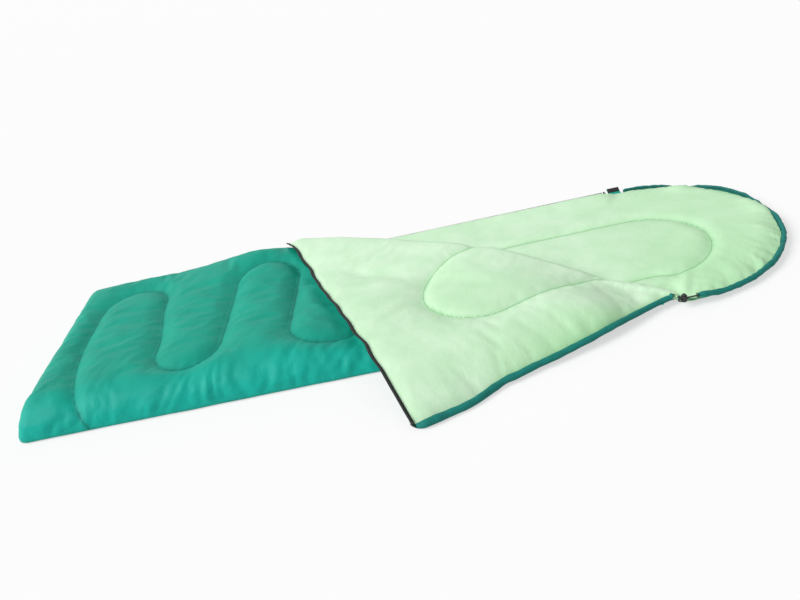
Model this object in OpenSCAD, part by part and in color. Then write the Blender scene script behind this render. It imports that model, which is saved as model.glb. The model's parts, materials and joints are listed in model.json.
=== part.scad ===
// Hooded rectangular sleeping bag, unzipped from the head with its top quilt turned back.
// Origin: middle of the bag on the ground. +X runs from foot to hood, +Y to the zipped side, +Z up.

/* [Bag] */
// Width of the bag
bag_w = 750; // [650:5:850]
// Length from the foot to the head line
body_len = 1800; // [1600:10:1900]
// Straight stretch of the hood before its round end
hood_neck = 25; // [15:1:80]
// Radius of the two foot corners
foot_corner_r = 40; // [30:1:70]
// Length of zip that is undone, from the head
zip_open = 1075; // [950:5:1200]

/* [Quilts] */
// Thickness of the base quilt at its crown
base_loft = 30; // [27:1:40]
// Height of the base quilt's sewn edge
base_edge_h = 21; // [18:0.5:23]
// Gap between the quilts, where the sleeper lies
pocket_h = 8; // [7:0.5:20]
// Thickness of the top quilt at its crown
top_loft = 32; // [29:1:45]
// How much fuller the top quilt is where nothing lies on it
top_puff = 22; // [0:1:26]
// Height of the top quilt's sewn edge above its lining
top_edge_h = 12; // [10:0.5:14]
// Fabric thickness
fabric_t = 1; // [0.8:0.1:1.5]
// Clearance between layers
layer_gap = 0.3; // [0.2:0.05:0.5]
// Width of the drawn-in band along a sewn edge
draw_in = 45; // [30:1:70]
// Width of the seam allowance that the wadding keeps clear of
seam_w = 20; // [15:1:30]

/* [Quilting] */
// Distance between neighbouring runs of the quilting line on the top
run_pitch = 218; // [180:2:260]
// First run of the quilting line, from the foot
run_start = 118; // [80:1:160]
// Far turns of the quilting line, their centres from the middle
turn_far_y = 160; // [150:2:210]
// Near turns of the quilting line, their centres from the middle
turn_near_y = 164; // [100:2:180]
// How far the first run slants towards the head at the near edge
run_slant = 85; // [0:1:100]
// Half width of a sewn channel
channel_half = 38; // [30:1:45]
// Depth of a sewn channel in the top quilt
top_channel = 12; // [6:0.5:14]
// How much deeper a channel is where the top quilt is fuller
puff_channel = 8; // [0:0.5:12]
// Depth of a sewn channel in the base lining
base_channel = 6; // [3:0.5:6]
// Depth of a sewn channel in the turned-back lining
flap_channel = 8; // [4:0.5:9]
// Radius of the base's quilted arch
base_arch_r = 189; // [150:1:200]
// Distance of the base's quilted arch from the hood's centre
base_arch_back = 29; // [10:1:60]
// Sideways shift of the base's quilted arch
base_arch_y = -49; // [-60:1:60]
// Radius of the turned-back part's quilted arch
flap_arch_r = 150; // [120:1:160]
// Distance of that arch from the head line
flap_arch_x = 400; // [360:2:440]

/* [Fold] */
// How far the rolled fold stands out past the fold line
fold_bulge = 70; // [50:1:76]
// How much higher the fold's crest stands
fold_lift = 50; // [20:1:56]
// Angle by which the overhanging corner hangs down
drape_angle = 15; // [10:0.5:15.5]
// Width of the hem along the head edge
hem_w = 25; // [18:1:35]

/* [Zip] */
// Radius of a zip coil
coil_r = 2; // [1.6:0.1:2.4]
// Gap between the two coils
coil_gap = 1.6; // [1.4:0.1:2]
// Distance of the zip from the bag's side
chain_off = 7; // [6.6:0.1:9]
// Width of the zip tape that stands free
tape_w = 9; // [7:0.5:9]
// Length of the slider
slider_len = 24; // [18:1:30]
// Thickness of the slider's plates
slider_plate = 2; // [1.6:0.1:2.2]
// Running clearance of the slider round the coils
slider_gap = 0.8; // [0.5:0.1:0.9]
// Length of the slider's pull
pull_len = 30; // [22:1:45]
// Radius of the pull's pin
pin_r = 1.2; // [1:0.1:1.5]
// Clearance between the pin and the pull's eye
pin_gap = 0.3; // [0.2:0.05:0.4]
// Length of a zip stop
stop_len = 6; // [4:0.5:8]

/* [Hood cord] */
// Radius of the casing round the hood's rim
casing_r = 9; // [8.6:0.1:12]
// Radius of the drawcord
cord_r = 2; // [1.5:0.1:2.2]
// Distance from the head line to the casing's ends
casing_start = 50; // [46:1:60]
// Radius of the cord lock
lock_r = 8; // [7.5:0.1:8.4]
// Height of the cord lock's body
lock_h = 16; // [15:0.5:18]
// Travel of the cord lock's button
button_travel = 3; // [2:0.1:3]
// How far the button stands out of the lock
button_proud = 5; // [4:0.5:7]

/* [Tab] */
// Width of the closing tab
tab_w = 40; // [25:1:42]
// Free length of the closing tab
tab_len = 35; // [25:1:45]
// Length of the hook patch on the tab
hook_len = 21; // [15:1:24]

/* [Hidden] */
$fn = 64;

teal = [0.16, 0.62, 0.55];
mint = [0.80, 0.93, 0.79];
wadding = [0.95, 0.95, 0.93];
black = [0.10, 0.13, 0.12];
metal = [0.55, 0.57, 0.58];

// Plan of the bag
half_w = bag_w / 2;
bag_len = body_len + hood_neck + half_w;
foot_x = -bag_len / 2;
head_x = foot_x + body_len;
hood_cx = head_x + hood_neck;
open_x = head_x - zip_open;

// Heights of the layers
seam_t = 0.2;
flap_clear = 1.7;
flap_edge_h = 8.3;
sheet_t = fabric_t + seam_t;
step_up = fabric_t + layer_gap;
base_rim_z = base_edge_h + layer_gap;
top_z0 = base_loft + pocket_h;
top_z1 = top_z0 + top_loft;
top_edge_z = top_z0 + top_edge_h;
top_skirt_z = top_z0 + step_up;
fold_z = top_z1;
flap_z0 = top_z0 + flap_clear;
flap_z1 = fold_z - layer_gap;
flap_edge_z = flap_z0 + flap_edge_h;

// Fold line from the open end of the zip to the near corner of the head line, and its normal
fold_slope = zip_open / bag_w;
fold_len = norm([zip_open, bag_w]);
fold_dir = [zip_open, -bag_w] / fold_len;
fold_normal = [bag_w, zip_open] / fold_len;
fold_gap = 1;
tip_cut = 40;

// Direction in which the zip's edge faces once it is turned back
zip_out = [0, 1] - 2 * fold_normal.y * fold_normal;

// The crest is the line of the flap that lies over the bag's near edge when the flap is turned back
crest_run = bag_w / sin(2 * atan2(bag_w, zip_open));
crest_x = open_x + crest_run;
crest_slope = (head_x - crest_x) / bag_w;
crest_gap = 0.3;

// Edge steps of a formed sheet: outer wall, inner wall, then the drawn-in band
wall_steps = [0, sheet_t, sheet_t + 2 * seam_t];
edge_steps = concat(wall_steps, [draw_in * 0.3, draw_in]);
out_of_reach = 10 * bag_len;
run_x0 = foot_x + run_start;
run_count = floor((head_x - run_x0) / run_pitch) + 1;

function last(list) = list[len(list) - 1];
function lerp(a, b, t) = a + (b - a) * t;
function clamp01(v) = min(1, max(0, v));
function flip(list) = [for (k = [len(list) - 1 : -1 : 0]) list[k]];

// Half width of the body at x, with the foot corners rounded, drawn in by inset
function half_width(x, inset) =
    let (into = max(0, foot_x + foot_corner_r - x), r = foot_corner_r - inset)
    half_w - foot_corner_r + sqrt(max(0, r * r - into * into));

// Points on the fold line and on the crest line, moved sideways by off
function fold_at(y, off) = open_x + (half_w - y) * fold_slope + off / fold_normal.x;
function crest_at(y, off) = head_x - (y + half_w) * crest_slope + off * norm([1, crest_slope]);

// Rise of a quilt from its sewn edge, and sag into a sewn channel, by distance
function crown(d) = sqrt(1 - pow(1 - clamp01(d / draw_in), 2));
function sag(d) = pow(1 - pow(clamp01(d / channel_half), 2), 2);

// Share of the top quilt's fullness at a point: none under the turned-back part, all of it well clear of it
puff_run = 150;
function bare(p) =
    let (t = clamp01(((p - [open_x, half_w]) * zip_out - seam_w) / puff_run))
    t * t * (3 - 2 * t);

// Distances to the quilting lines
function run_dist(p, a, b) =
    let (ab = b - a, t = clamp01((p - a) * ab / (ab * ab)))
    norm(p - a - t * ab);
function turn_dist(p, c, r, dir) = (p - c) * dir < 0 ? out_of_reach : abs(norm(p - c) - r);
function arch_dist(p, c, r, dir, leg) =
    let (side = r * [-dir.y, dir.x])
    min(
        turn_dist(p, c, r, dir),
        run_dist(p, c + side, c + side - leg * dir),
        run_dist(p, c - side, c - side - leg * dir)
    );
function serpentine_dist(p) = min(concat(
    [run_dist(p, [run_x0, 0], [run_x0 + run_slant / 3, -half_w / 2])],
    [run_dist(p, [run_x0 + run_slant / 3, -half_w / 2], [run_x0 + run_slant, -half_w])],
    [for (k = [0 : run_count - 1])
        let (x = run_x0 + k * run_pitch, far = k % 2 == 0)
        let (turn = [x + run_pitch / 2, far ? turn_far_y : -turn_near_y])
        each [
            run_dist(p, [x, k == 0 ? 0 : -turn_near_y], [x, turn_far_y]),
            turn_dist(p, turn, run_pitch / 2, [0, far ? 1 : -1])
        ]]
));
function base_channel_dist(p) =
    arch_dist(p, [hood_cx - base_arch_back, base_arch_y], base_arch_r, [1, 0], body_len * 0.85);
function flap_channel_dist(p) =
    arch_dist(p, [head_x - flap_arch_x, 0], flap_arch_r, [0, 1], half_w);

// A closed sheet through a grid of [x, y, upper z, lower z], x growing with the row and y with the column
function quad(a, b, c, d) = [[a, b, c], [a, c, d]];
function grid_faces(n, m, u) = concat(
    [for (i = [0 : n - 2], j = [0 : m - 2])
        let (a = i * m + j) each quad(a, a + 1, a + m + 1, a + m)],
    [for (i = [0 : n - 2], j = [0 : m - 2])
        let (a = i * m + j + u) each quad(a, a + m, a + m + 1, a + 1)],
    [for (i = [0 : n - 2])
        let (a = i * m) each quad(a + u, a, a + m, a + m + u)],
    [for (i = [0 : n - 2])
        let (a = i * m + m - 1) each quad(a + u, a + m + u, a + m, a)],
    [for (j = [0 : m - 2]) each quad(j + 1 + u, j + 1, j, j + u)],
    [for (j = [0 : m - 2])
        let (a = (n - 1) * m + j) each quad(a + u, a, a + 1, a + 1 + u)]
);
module sheet(grid) {
    n = len(grid);
    m = len(grid[0]);
    upper = [for (row = grid) for (p = row) [p.x, p.y, p[2]]];
    lower = [for (row = grid) for (p = row) [p.x, p.y, p[3]]];
    polyhedron(points = concat(upper, lower), faces = grid_faces(n, m, n * m));
}

// Outline of the base, drawn in by inset, and the two sides of the fold line
module outline(inset) {
    r = foot_corner_r - inset;
    translate([hood_cx, 0]) circle(half_w - inset, $fn = 128);
    translate([foot_x + foot_corner_r, inset - half_w])
        square([hood_cx - foot_x - foot_corner_r, bag_w - 2 * inset]);
    translate([foot_x + inset, foot_corner_r - half_w])
        square([bag_len / 2, bag_w - 2 * foot_corner_r]);
    for (side = [-1, 1])
        translate([foot_x + foot_corner_r, side * (half_w - foot_corner_r)]) circle(r);
}
module foot_side_of_fold(off) {
    polygon([
        [foot_x - bag_w, half_w],
        [fold_at(half_w, off), half_w],
        [fold_at(-half_w, off), -half_w],
        [foot_x - bag_w, -half_w]
    ]);
}

// Rows of the turned-back part's outline in its closed place, inset from the zipped edge
module flap_plan(inset, off) {
    near = tip_cut - half_w;
    far = half_w - inset;
    polygon([
        [fold_at(near, off), near],
        [crest_at(near, -crest_gap), near],
        [crest_at(far, -crest_gap), far],
        [fold_at(far, off), far]
    ]);
}
module corner_plan(inset, hem) {
    near = crest_at(-half_w + tip_cut, crest_gap) < head_x - hem
        ? tip_cut - half_w
        : (hem + tip_cut / 4) / crest_slope - half_w;
    far = half_w - inset;
    polygon([
        [crest_at(near, crest_gap), near],
        [head_x - hem, near],
        [head_x - hem, far],
        [crest_at(far, crest_gap), far]
    ]);
}

// The turned-back place: half a turn about the fold line; the corner also hangs over the near edge
module turned_back() {
    translate([open_x, half_w, fold_z])
        rotate(180, [fold_dir.x, fold_dir.y, 0])
            translate([-open_x, -half_w, -fold_z]) children();
}
module draped() {
    translate([0, -half_w, fold_z])
        rotate([drape_angle, 0, 0])
            translate([0, half_w, -fold_z])
                turned_back() children();
}

// A flat piece of cloth or wadding between two heights
module layer(z0, z1) {
    translate([0, 0, z0]) linear_extrude(z1 - z0) children();
}

// Base quilt
module base_shell() {
    color(teal) difference() {
        layer(0, base_edge_h) outline(0);
        layer(fabric_t, base_edge_h + 1) outline(fabric_t);
    }
}
module base_batting() {
    color(wadding) layer(step_up, base_edge_h) outline(step_up);
}

lining_r = half_w - 2 * casing_r - layer_gap;
row_step = 0.126;
base_rows = concat([-1, -0.965], [for (k = [-7 : 7]) k * row_step], [0.965, 1]);
body_cells = 17;
hood_cells = 10;
hood_arc = 84;
neck_blend = 20;
base_stations = concat(
    [for (s = [step_up, draw_in * 0.3, draw_in]) [foot_x + s, half_width(foot_x + s, step_up)]],
    [for (k = [1 : body_cells])
        [lerp(foot_x + draw_in, head_x - neck_blend, k / body_cells), half_w - step_up]],
    [[head_x, lining_r]],
    [for (k = [0 : hood_cells])
        let (a = k * hood_arc / hood_cells) [hood_cx + lining_r * sin(a), lining_r * cos(a)]]
);
function base_edge_dist(x, y, w) = x > hood_cx
    ? lining_r - norm([x - hood_cx, y])
    : min(w - abs(y), x - foot_x - step_up);
function base_lining_z(x, y, w) =
    lerp(base_rim_z + sheet_t, base_loft, crown(max(0, base_edge_dist(x, y, w))))
    - base_channel * sag(base_channel_dist([x, y])) * crown(max(0, base_edge_dist(x, y, w)));
module base_lining() {
    color(mint) sheet([
        for (s = base_stations) [
            for (f = base_rows)
                let (y = f * s[1], z = base_lining_z(s[0], y, s[1]))
                [s[0], y, z, z - sheet_t]
        ]
    ]);
}

// Sewn sides between the two quilts
module side_panel() {
    x0 = foot_x + foot_corner_r + layer_gap;
    color(teal) translate([x0, -half_w, base_rim_z])
        cube([head_x - fold_gap - x0, fabric_t, top_z0 + fabric_t - base_rim_z]);
}
module foot_panel() {
    color(teal) layer(base_rim_z, top_z0 + fabric_t) intersection() {
        difference() {
            outline(0);
            outline(fabric_t);
        }
        translate([foot_x, -half_w]) square([foot_corner_r, bag_w]);
    }
}

// Top quilt, from the foot to the fold
module top_lining() {
    color(mint) layer(top_z0, top_z0 + fabric_t) intersection() {
        outline(step_up);
        foot_side_of_fold(-fold_gap);
    }
}
module top_batting() {
    seam_z = lerp(top_edge_z, top_z1, crown(seam_w));
    color(wadding) layer(top_skirt_z, seam_z - top_channel - sheet_t - layer_gap) intersection() {
        outline(seam_w);
        foot_side_of_fold(-seam_w / 4);
    }
}

row_pitch = 58;
inner_rows = floor((half_w - draw_in - row_pitch / 3) / row_pitch);
top_rows = concat(
    [for (s = edge_steps) s - half_w],
    [for (k = [-inner_rows : inner_rows]) k * row_pitch],
    flip([for (s = edge_steps) half_w - s])
);
run_step = run_pitch / 3;
fold_cells = 11;
before_fold = open_x - draw_in / 2;
run_cells = floor((before_fold - run_x0) / run_step);
top_columns = concat(
    [for (s = edge_steps) foot_x + s],
    [for (k = [0 : run_cells]) run_x0 + k * run_step]
);
function top_shell_z(x, y) =
    let (rise = crown(min(half_width(x, 0) - abs(y), x - foot_x)), full = bare([x, y]))
    lerp(top_edge_z, top_z1 + top_puff * full, rise)
    - (top_channel + puff_channel * full) * sag(serpentine_dist([x, y])) * rise;
function top_point(x, row, on_wall) =
    let (y = row * half_width(x, 0) / half_w, z = top_shell_z(x, y))
    [x, y, z, on_wall ? top_skirt_z : z - sheet_t];
module top_shell() {
    m = len(top_rows);
    color(teal) sheet(concat(
        [for (i = [0 : len(top_columns) - 1]) [
            for (j = [0 : m - 1]) top_point(top_columns[i], top_rows[j], i < 2 || j < 2 || j > m - 3)
        ]],
        [for (k = [1 : fold_cells]) [
            for (j = [0 : m - 1])
                let (x = lerp(last(top_columns), fold_at(top_rows[j], -fold_gap), k / fold_cells))
                top_point(x, top_rows[j], j < 2 || j > m - 3)
        ]]
    ));
}

// Rolled fold that carries the lining over from the top quilt to the turned-back part
roll_start = (fold_bulge * fold_normal.y + step_up) / -fold_dir.y;
roll_mid_z = (top_z0 + 2 * fold_z - flap_z0) / 2;
roll_half_h = roll_mid_z - top_z0;
function roll_profile(inset) = [
    for (k = [0 : 16])
        let (a = -90 + k * 180 / 16, lift = a > 0 ? fold_lift * cos(a) * sin(a) : 0)
        [(fold_bulge - inset) * cos(a), (roll_half_h - inset) * sin(a) + lift]
];
module fold_roll(inset, wall) {
    translate([open_x, half_w, roll_mid_z])
        rotate([0, 0, atan2(fold_dir.y, fold_dir.x)])
            rotate([90, 0, 90])
                translate([0, 0, roll_start]) linear_extrude(fold_len - roll_start - tip_cut)
                    difference() {
                        polygon(roll_profile(inset));
                        polygon(roll_profile(inset + wall));
                    }
}
module fold_lining() {
    color(mint) fold_roll(0, fabric_t);
}
module fold_batting() {
    color(wadding) fold_roll(step_up, roll_half_h * 0.7);
}

// Turned-back part, drawn in its closed place
module flap_shell() {
    color(teal) turned_back() {
        layer(flap_z1 - fabric_t, flap_z1) flap_plan(0, fold_gap);
        layer(flap_edge_z, flap_z1) intersection() {
            flap_plan(0, fold_gap);
            translate([open_x, half_w - fabric_t]) square([body_len, fabric_t]);
        }
    }
}
module flap_batting() {
    color(wadding) turned_back()
        layer(flap_z0 + flap_channel + sheet_t + 2 * layer_gap, flap_z1 - step_up)
            flap_plan(step_up, seam_w / 4);
}

flap_rows = concat(
    [for (k = [0 : 12]) lerp(tip_cut - half_w, half_w - draw_in, k / 12)],
    [half_w - draw_in * 0.3, half_w]
);
flap_cells = 20;
function flap_lining_z(x, y) =
    let (rise = crown(half_w - y))
    lerp(flap_edge_z - layer_gap - sheet_t, flap_z0, rise)
    + flap_channel * sag(flap_channel_dist([x, y])) * rise;
module flap_lining() {
    color(mint) turned_back() sheet([
        for (i = [0 : flap_cells]) [
            for (y = flap_rows)
                let (x = lerp(fold_at(y, fold_gap), crest_at(y, -crest_gap), i / flap_cells))
                let (z = flap_lining_z(x, y))
                [x, y, z + sheet_t, z]
        ]
    ]);
}

// Corner of the turned-back part that hangs over the near edge
module corner_shell() {
    color(teal) draped() {
        layer(flap_z1 - fabric_t, flap_z1) corner_plan(0, 0);
        layer(flap_edge_z, flap_z1) intersection() {
            corner_plan(0, 0);
            translate([crest_x, half_w - fabric_t]) square([body_len, fabric_t]);
        }
    }
}
module corner_batting() {
    color(wadding) draped()
        layer(flap_edge_z + layer_gap, flap_z1 - step_up) corner_plan(step_up, hem_w + layer_gap);
}
module corner_hem() {
    far = half_w - step_up;
    near = hem_w / crest_slope - half_w;
    color(teal) draped()
        layer(flap_edge_z, flap_z1 - step_up)
            translate([head_x - hem_w, near]) square([hem_w, far - near]);
}

corner_near = (hem_w + tip_cut / 4) / crest_slope - half_w;
corner_rows = concat(
    [for (k = [0 : 9]) lerp(corner_near, half_w - draw_in, k / 9)],
    [half_w - draw_in * 0.3, half_w]
);
corner_cells = 6;
hem_x = head_x - hem_w - layer_gap;
function corner_lining_z(x, y) =
    lerp(flap_edge_z - layer_gap - sheet_t, flap_z0, crown(min(half_w - y, hem_x - x + draw_in / 4)));
module corner_lining() {
    color(mint) draped() sheet([
        for (i = [0 : corner_cells]) [
            for (y = corner_rows)
                let (x = lerp(crest_at(y, crest_gap), hem_x, i / corner_cells), z = corner_lining_z(x, y))
                [x, y, z + sheet_t, z]
        ]
    ]);
}
patch_inset = 12;
module loop_patch() {
    color(black) draped()
        translate([head_x - tab_w - patch_inset, half_w - hook_len - patch_inset, fold_z])
            cube([tab_w, hook_len, fabric_t]);
}

// Zip: tapes of L section on the quilts' sides, a coil along each
chain_y = half_w + chain_off;
chain_z = (base_loft + top_z0) / 2;
base_coil_z = chain_z - coil_gap / 2 - coil_r;
top_coil_z = chain_z + coil_gap / 2 + coil_r;
chain_x0 = foot_x + foot_corner_r + 15;
coil_seat = 0.2;
module zip_tape(x0, x1, side) {
    edge = side > 0 ? top_coil_z : base_coil_z;
    translate([x0, 0, edge + side * (coil_r + coil_seat)]) mirror([0, 0, side > 0 ? 0 : 1]) {
        translate([0, chain_y - fabric_t / 2, 0]) cube([x1 - x0, fabric_t, tape_w]);
        translate([0, half_w + layer_gap, tape_w - fabric_t])
            cube([x1 - x0, chain_off + fabric_t / 2 - layer_gap, fabric_t]);
    }
}
module zip_coil(x0, x1, side) {
    translate([x0, chain_y, side > 0 ? top_coil_z : base_coil_z])
        rotate([0, 90, 0]) cylinder(r = coil_r, h = x1 - x0);
}
module zip_stop(x, z0, z1) {
    translate([x, chain_y, (z0 + z1) / 2])
        cube([stop_len, 2 * coil_r + 1.2, z1 - z0], center = true);
}

base_zip_end = head_x - 2 * stop_len;
flap_zip_start = open_x + slider_len;
module zip_tape_base() {
    color(black) zip_tape(chain_x0, head_x - stop_len / 2, -1);
}
module zip_coil_base() {
    color(black) zip_coil(chain_x0 + stop_len + coil_seat, base_zip_end, -1);
}
module zip_stop_base() {
    color(metal)
        zip_stop(base_zip_end + stop_len / 2 + coil_seat, base_coil_z - coil_r, base_coil_z + coil_r);
}
module zip_tape_top() {
    color(black) zip_tape(chain_x0, open_x - stop_len / 2, 1);
}
module zip_coil_top() {
    color(black) zip_coil(chain_x0 + stop_len + coil_seat, open_x - stop_len / 2, 1);
}
module zip_bottom_stop() {
    color(metal) zip_stop(chain_x0 + stop_len / 2, base_coil_z - coil_r, top_coil_z + coil_r);
}
module zip_tape_flap() {
    color(black) turned_back() zip_tape(flap_zip_start, crest_at(half_w, -crest_gap), 1);
}
module zip_coil_flap() {
    color(black) turned_back() zip_coil(flap_zip_start, crest_at(half_w, -crest_gap), 1);
}
module zip_tape_corner() {
    color(black) draped() zip_tape(crest_at(half_w, crest_gap), head_x - stop_len / 2, 1);
}
module zip_coil_corner() {
    color(black) draped() zip_coil(crest_at(half_w, crest_gap), base_zip_end, 1);
}
module zip_stop_corner() {
    color(metal) draped()
        zip_stop(base_zip_end + stop_len / 2 + coil_seat, top_coil_z - coil_r, top_coil_z + coil_r);
}

// Slider: two plates either side of the coils, a thin divider between them, and the pull's lugs
slider_x = open_x - slider_len / 12;
slider_h = 4 * coil_r + coil_gap + 4;
plate_y = coil_r + slider_gap;
divider_t = coil_gap / 2;
divider_len = 6;
pull_y = chain_y + plate_y + slider_plate + 2 * pin_r + 0.6;
pull_x = slider_x + slider_len / 4;
eye_h = slider_h / 2;
lug_t = 2;
eye_r = pin_r + pin_gap + 1.1;
module slider_body() {
    color(metal) {
        for (y = [-plate_y - slider_plate, plate_y])
            translate([slider_x - slider_len / 2, chain_y + y, chain_z - slider_h / 2])
                cube([slider_len, slider_plate, slider_h]);
        translate([slider_x + (slider_len - divider_len) / 2, chain_y, chain_z])
            cube([divider_len, 2 * (plate_y + slider_plate), divider_t], center = true);
        for (side = [-1, 1])
            translate([pull_x, 0, chain_z + side * (eye_h / 2 + pin_gap + lug_t / 2)])
                lug();
        translate([pull_x, pull_y, chain_z])
            cylinder(r = pin_r, h = eye_h + 2 * pin_gap + lug_t, center = true);
    }
}
module lug() {
    foot_y = chain_y + plate_y + slider_plate / 2;
    translate([0, pull_y, 0]) cylinder(r = 2 * pin_r, h = lug_t, center = true);
    translate([-2 * pin_r, foot_y, -lug_t / 2]) cube([4 * pin_r, pull_y - foot_y, lug_t]);
}
module slider_pull() {
    color(black) translate([pull_x, pull_y, chain_z]) difference() {
        union() {
            cylinder(r = eye_r, h = eye_h, center = true);
            translate([-pull_len, -eye_r / 2, -eye_h / 2]) cube([pull_len, eye_r, eye_h]);
            translate([-pull_len, 0, 0]) rotate([90, 0, 0]) cylinder(r = eye_h / 2, h = eye_r, center = true);
        }
        cylinder(r = pin_r + pin_gap, h = eye_h + 1, center = true);
    }
}

// Drawcord casing round the hood, its cord and the cord's lock
casing_z = base_rim_z + casing_r;
casing_ring = half_w - casing_r;
casing_half = acos((casing_start - hood_neck) / casing_ring);
cord_y = -casing_ring * sin(casing_half);
casing_x = head_x + casing_start;
lock_x = head_x + lock_r + 7;
cord_end_x = head_x + 4;
module round_hood(half_angle) {
    translate([hood_cx, 0, casing_z]) rotate([0, 0, -half_angle])
        rotate_extrude(angle = 2 * half_angle) translate([casing_ring, 0]) children();
}
module hood_casing() {
    color(teal) round_hood(casing_half) difference() {
        circle(casing_r);
        circle(casing_r - fabric_t);
    }
}
knot_r = cord_r + 1.2;
module hood_drawcord() {
    color(black) {
        round_hood(casing_half) circle(cord_r);
        translate([cord_end_x, cord_y, casing_z]) {
            rotate([0, 90, 0]) cylinder(r = cord_r, h = casing_x - cord_end_x + cord_r);
            sphere(knot_r);
        }
    }
}
eyelet_t = 1.5;
module cord_eyelet() {
    color(metal) translate([casing_x - casing_r * 0.1 - eyelet_t, cord_y, casing_z])
        rotate([0, 90, 0]) difference() {
            cylinder(r = casing_r - fabric_t, h = eyelet_t);
            translate([0, 0, -1]) cylinder(r = cord_r + layer_gap, h = eyelet_t + 2);
        }
}

lock_floor = 1;
lock_wall = 2;
button_gap = 0.4;
slot_wall = 0.9;
lock_z0 = base_rim_z + layer_gap;
button_r = lock_r - lock_wall - button_gap;
button_z0 = casing_z - cord_r - layer_gap - slot_wall;
module cord_lock_body() {
    color(black) translate([lock_x, cord_y, 0]) difference() {
        translate([0, 0, lock_z0]) cylinder(r = lock_r, h = lock_h);
        translate([0, 0, lock_z0 + lock_floor]) cylinder(r = lock_r - lock_wall, h = lock_h);
        translate([0, 0, casing_z]) rotate([0, 90, 0])
            cylinder(r = cord_r + layer_gap, h = 3 * lock_r, center = true);
    }
}
module cord_lock_button() {
    slot_h = 2 * (cord_r + layer_gap) + button_travel;
    slot_w = 2 * (cord_r + button_gap);
    color(black) translate([lock_x, cord_y, 0]) difference() {
        translate([0, 0, button_z0])
            cylinder(r = button_r, h = lock_z0 + lock_h + button_proud - button_z0);
        translate([-2 * button_r, -slot_w / 2, button_z0 + slot_wall])
            cube([4 * button_r, slot_w, slot_h]);
    }
}
spring_wire = 0.8;
module cord_lock_spring() {
    z0 = lock_z0 + lock_floor;
    color(metal) translate([lock_x, cord_y, z0]) difference() {
        cylinder(r = button_r - button_gap, h = button_z0 - z0);
        translate([0, 0, -1]) cylinder(r = button_r - button_gap - spring_wire, h = button_z0 - z0 + 2);
    }
}

// Closing tab at the top of the zip
tab_x = head_x + 6;
tab_t = 2;
tab_y = half_w + layer_gap;
module tab_strap() {
    color(teal) translate([tab_x, tab_y, base_edge_h - tab_t]) cube([tab_w, tab_len, tab_t]);
}
module tab_hook() {
    color(black) translate([tab_x, tab_y + tab_len - hook_len, base_rim_z])
        cube([tab_w, hook_len, tab_t * 0.75]);
}

base_shell();
base_batting();
base_lining();
side_panel();
foot_panel();
top_lining();
top_batting();
top_shell();
fold_batting();
fold_lining();
flap_shell();
flap_batting();
flap_lining();
corner_shell();
corner_batting();
corner_lining();
corner_hem();
loop_patch();
zip_tape_base();
zip_coil_base();
zip_stop_base();
zip_tape_top();
zip_coil_top();
zip_bottom_stop();
zip_tape_flap();
zip_coil_flap();
zip_tape_corner();
zip_coil_corner();
zip_stop_corner();
slider_body();
slider_pull();
hood_casing();
hood_drawcord();
cord_eyelet();
cord_lock_body();
cord_lock_button();
cord_lock_spring();
tab_strap();
tab_hook();
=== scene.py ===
"""Cloth, zip, hood cord and stage of a hooded rectangular sleeping bag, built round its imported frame."""

import json
import math

import bmesh
import bpy
from bpy.props import FloatProperty, FloatVectorProperty, IntProperty, PointerProperty
from mathutils import Matrix, Vector, kdtree, noise
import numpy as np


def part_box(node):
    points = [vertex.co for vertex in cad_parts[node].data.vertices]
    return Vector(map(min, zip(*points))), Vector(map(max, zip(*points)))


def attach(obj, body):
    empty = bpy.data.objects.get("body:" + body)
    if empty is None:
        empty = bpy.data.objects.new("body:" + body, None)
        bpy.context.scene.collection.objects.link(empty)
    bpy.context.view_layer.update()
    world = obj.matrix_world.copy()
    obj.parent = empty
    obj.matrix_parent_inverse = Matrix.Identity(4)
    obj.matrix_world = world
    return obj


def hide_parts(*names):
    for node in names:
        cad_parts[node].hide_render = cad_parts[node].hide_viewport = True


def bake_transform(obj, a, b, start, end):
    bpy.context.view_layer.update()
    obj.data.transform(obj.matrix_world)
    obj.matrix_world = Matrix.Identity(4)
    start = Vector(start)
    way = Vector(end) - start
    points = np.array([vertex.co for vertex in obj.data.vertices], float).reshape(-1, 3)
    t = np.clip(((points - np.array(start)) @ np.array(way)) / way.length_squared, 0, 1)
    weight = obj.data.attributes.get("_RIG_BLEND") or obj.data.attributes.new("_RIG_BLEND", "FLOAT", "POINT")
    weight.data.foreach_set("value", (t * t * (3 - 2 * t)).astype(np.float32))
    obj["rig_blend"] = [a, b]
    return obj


bl_info = {
    "name": "Hooded sleeping bag",
    "version": (1, 0, 0),
    "blender": (4, 5, 0),
    "location": "View3D > Sidebar > Sleeping bag",
    "description": "Sews a quilted sleeping bag with a turned-back top round its packed frame",
    "category": "Object",
}

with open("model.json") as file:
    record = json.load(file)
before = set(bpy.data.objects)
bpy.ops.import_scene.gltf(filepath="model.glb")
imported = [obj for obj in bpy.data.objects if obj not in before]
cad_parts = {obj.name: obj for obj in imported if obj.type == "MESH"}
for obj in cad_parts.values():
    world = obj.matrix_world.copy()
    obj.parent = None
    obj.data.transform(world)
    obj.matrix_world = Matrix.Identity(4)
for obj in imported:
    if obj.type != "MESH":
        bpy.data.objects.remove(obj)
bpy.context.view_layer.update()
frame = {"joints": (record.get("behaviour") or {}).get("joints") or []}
JOINTS = {joint["name"]: joint for joint in frame["joints"]}

# Plan of the bag, from the frame: half its width, its foot, its head line and the round of its hood
HALF_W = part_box("base_shell")[1].y
FOOT_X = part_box("base_shell")[0].x
HOOD_TIP_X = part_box("base_shell")[1].x
HOOD_X = HOOD_TIP_X - HALF_W
HEAD_X = JOINTS["corner_drape"]["pos_m"][0]
FOLD_Z = JOINTS["flap_fold"]["pos_m"][2]
BASE_EDGE_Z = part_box("base_shell")[1].z
POCKET_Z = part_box("top_lining")[0].z

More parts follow.
